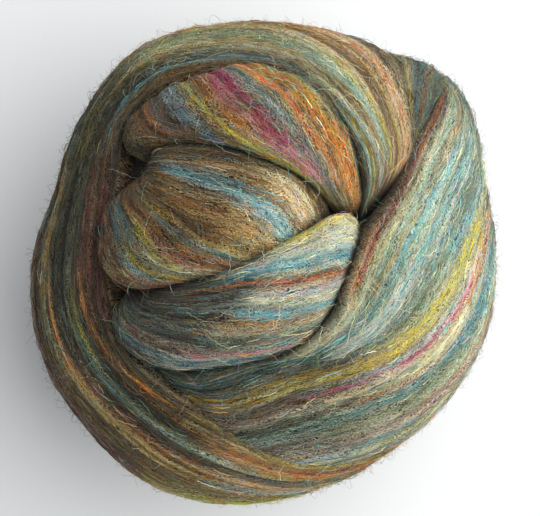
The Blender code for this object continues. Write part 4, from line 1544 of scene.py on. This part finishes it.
def fuzz_mesh(kind):
    """One set of fuzz: hairs with one end free, and loops with both ends held.

    A loop's lift at share t along it is its reach times sin(pi t), and a free hair's is t^1.3.
    """
    winding = bpy.context.scene.wool_winding
    rng = np.random.default_rng(kind.seed)
    places, rises, flows, dyes = gather_roots(winding.fuzz_density * kind.density, rng)
    beside = np.abs(places[:, 2] - SIDE_LEVEL) < SIDE_BELT
    kept = rng.random(len(places)) < np.where(beside, 1.0, kind.away)
    places, rises, flows, dyes = places[kept], rises[kept], flows[kept], dyes[kept]
    count = len(places)
    spots = hair_spots(places, flows, kind.course, rng)
    way = np.linspace(0, 1, kind.course.points)[None, :]
    reach = winding.fuzz_reach * kind.reach * rng.beta(*REACH_DRAW, count)[:, None]
    loops = rng.random(count)[:, None] < LOOP_SHARE
    lift = reach * np.where(loops, np.sin(math.pi * way), way**FREE_POWER)
    paths = on_ball(spots, rises[:, None] + lift - FUZZ_SINK)
    radii = winding.hair_radius * rng.uniform(*FUZZ_RADII, count)[:, None] * (1 - FUZZ_TAPER * way)
    return fibre_mesh(paths, outwards(spots), radii, stray_colours(dyes, FUZZ_PALE_SHARE, rng))


class WOOL_OT_fuzz(bpy.types.Operator):
    """Add the fuzz that stands off the ball, long and thin, and the short down under it."""

    bl_idname = "wool.fuzz"
    bl_label = "Fuzz"

    def execute(self, context):
        for kind in FUZZ_SETS:
            add_piece(kind.piece, *fuzz_mesh(kind), fibre_material())
        return {"FINISHED"}


# The stage: half a side of the floor, the key light's place and what it points at, the camera's
# place over the floor, the width of its sensor in millimetres and its near limit.
FLOOR_HALF_SIDE = 3.0
KEY_PLACE = np.array([0.56, 0.18, 0.58])
KEY_AIM = np.array([0.0, 0.0, 0.05])
CAMERA_PLACE = (0.00225, 0.00096)
SENSOR_WIDTH = 36.0
CLIP_START = 0.01


class WOOL_OT_stage(bpy.types.Operator):
    """Add the pale floor, the soft light from the right and the camera overhead."""

    bl_idname = "wool.stage"
    bl_label = "Stage"

    def execute(self, context):
        stage = context.scene.wool_stage
        mesh = bpy.data.meshes.new("floor")
        side = FLOOR_HALF_SIDE
        corners = [(-side, -side, 0.0), (side, -side, 0.0), (side, side, 0.0), (-side, side, 0.0)]
        mesh.from_pydata(corners, [], [(0, 1, 2, 3)])
        floor = bpy.data.objects.new("floor", mesh)
        context.scene.collection.objects.link(floor)
        shade = Shade("plain_paper")
        shade.shader.inputs["Base Color"].default_value = tuple(linear(tuple(stage.floor))) + (1.0,)
        shade.surface(0.9, 0.1)
        mesh.materials.append(shade.material)

        lamp = bpy.data.lights.new("key", "AREA")
        lamp.shape = "SQUARE"
        lamp.size = stage.key_size
        lamp.energy = stage.key_power
        key = bpy.data.objects.new("key", lamp)
        context.scene.collection.objects.link(key)
        key.location = KEY_PLACE
        aim = unit(KEY_AIM - KEY_PLACE)
        key.rotation_euler = (math.acos(-aim[2]), 0.0, math.atan2(-aim[0], aim[1]))

        world = bpy.data.worlds.new("soft_sky")
        world.use_nodes = True
        back = world.node_tree.nodes["Background"]
        back.inputs["Color"].default_value = tuple(linear(tuple(stage.sky))) + (1.0,)
        back.inputs["Strength"].default_value = stage.sky_strength
        context.scene.world = world

        lens = bpy.data.cameras.new("camera")
        lens.lens = stage.lens
        lens.sensor_width = SENSOR_WIDTH
        lens.sensor_fit = "HORIZONTAL"
        lens.clip_start = CLIP_START
        camera = bpy.data.objects.new("camera", lens)
        camera.location = (*CAMERA_PLACE, stage.camera_height)
        context.scene.collection.objects.link(camera)
        context.scene.camera = camera
        context.scene.view_settings.view_transform = "Standard"
        return {"FINISHED"}


OPERATORS = (
    WOOL_OT_inner_turns,
    WOOL_OT_folds,
    WOOL_OT_bands,
    WOOL_OT_under_wraps,
    WOOL_OT_strands,
    WOOL_OT_stray_hairs,
    WOOL_OT_fuzz,
    WOOL_OT_stage,
)


class WOOL_PT_ball(bpy.types.Panel):
    """Lists the pieces of the ball and their settings."""

    bl_idname = "WOOL_PT_ball"
    bl_label = "Wool Roving Ball"
    bl_space_type = "VIEW_3D"
    bl_region_type = "UI"
    bl_category = "Wool Ball"

    def draw(self, context):
        for operator in OPERATORS:
            self.layout.operator(operator.bl_idname)
        for settings in (getattr(context.scene, name) for name in SETTINGS):
            box = self.layout.box()
            for name in settings.__annotations__:
                box.prop(settings, name)


SETTINGS = {"wool_winding": WoolWinding, "wool_dyes": WoolDyes, "wool_stage": WoolStage}


def register():
    """Add the settings, the makers of the pieces and the panel."""
    for group in SETTINGS.values():
        bpy.utils.register_class(group)
    for name, group in SETTINGS.items():
        setattr(bpy.types.Scene, name, bpy.props.PointerProperty(type=group))
    for operator in OPERATORS:
        bpy.utils.register_class(operator)
    bpy.utils.register_class(WOOL_PT_ball)


def unregister():
    """Take away what was registered, in the other order."""
    bpy.utils.unregister_class(WOOL_PT_ball)
    for operator in reversed(OPERATORS):
        bpy.utils.unregister_class(operator)
    for name, group in SETTINGS.items():
        delattr(bpy.types.Scene, name)
        bpy.utils.unregister_class(group)


def main():
    """Make every piece in order."""
    register()
    for operator in OPERATORS:
        group, name = operator.bl_idname.split(".")
        result = getattr(getattr(bpy.ops, group), name)()
        if result != {"FINISHED"}:
            raise RuntimeError(f"{operator.bl_label} did not finish")


if __name__ == "__main__":
    main()
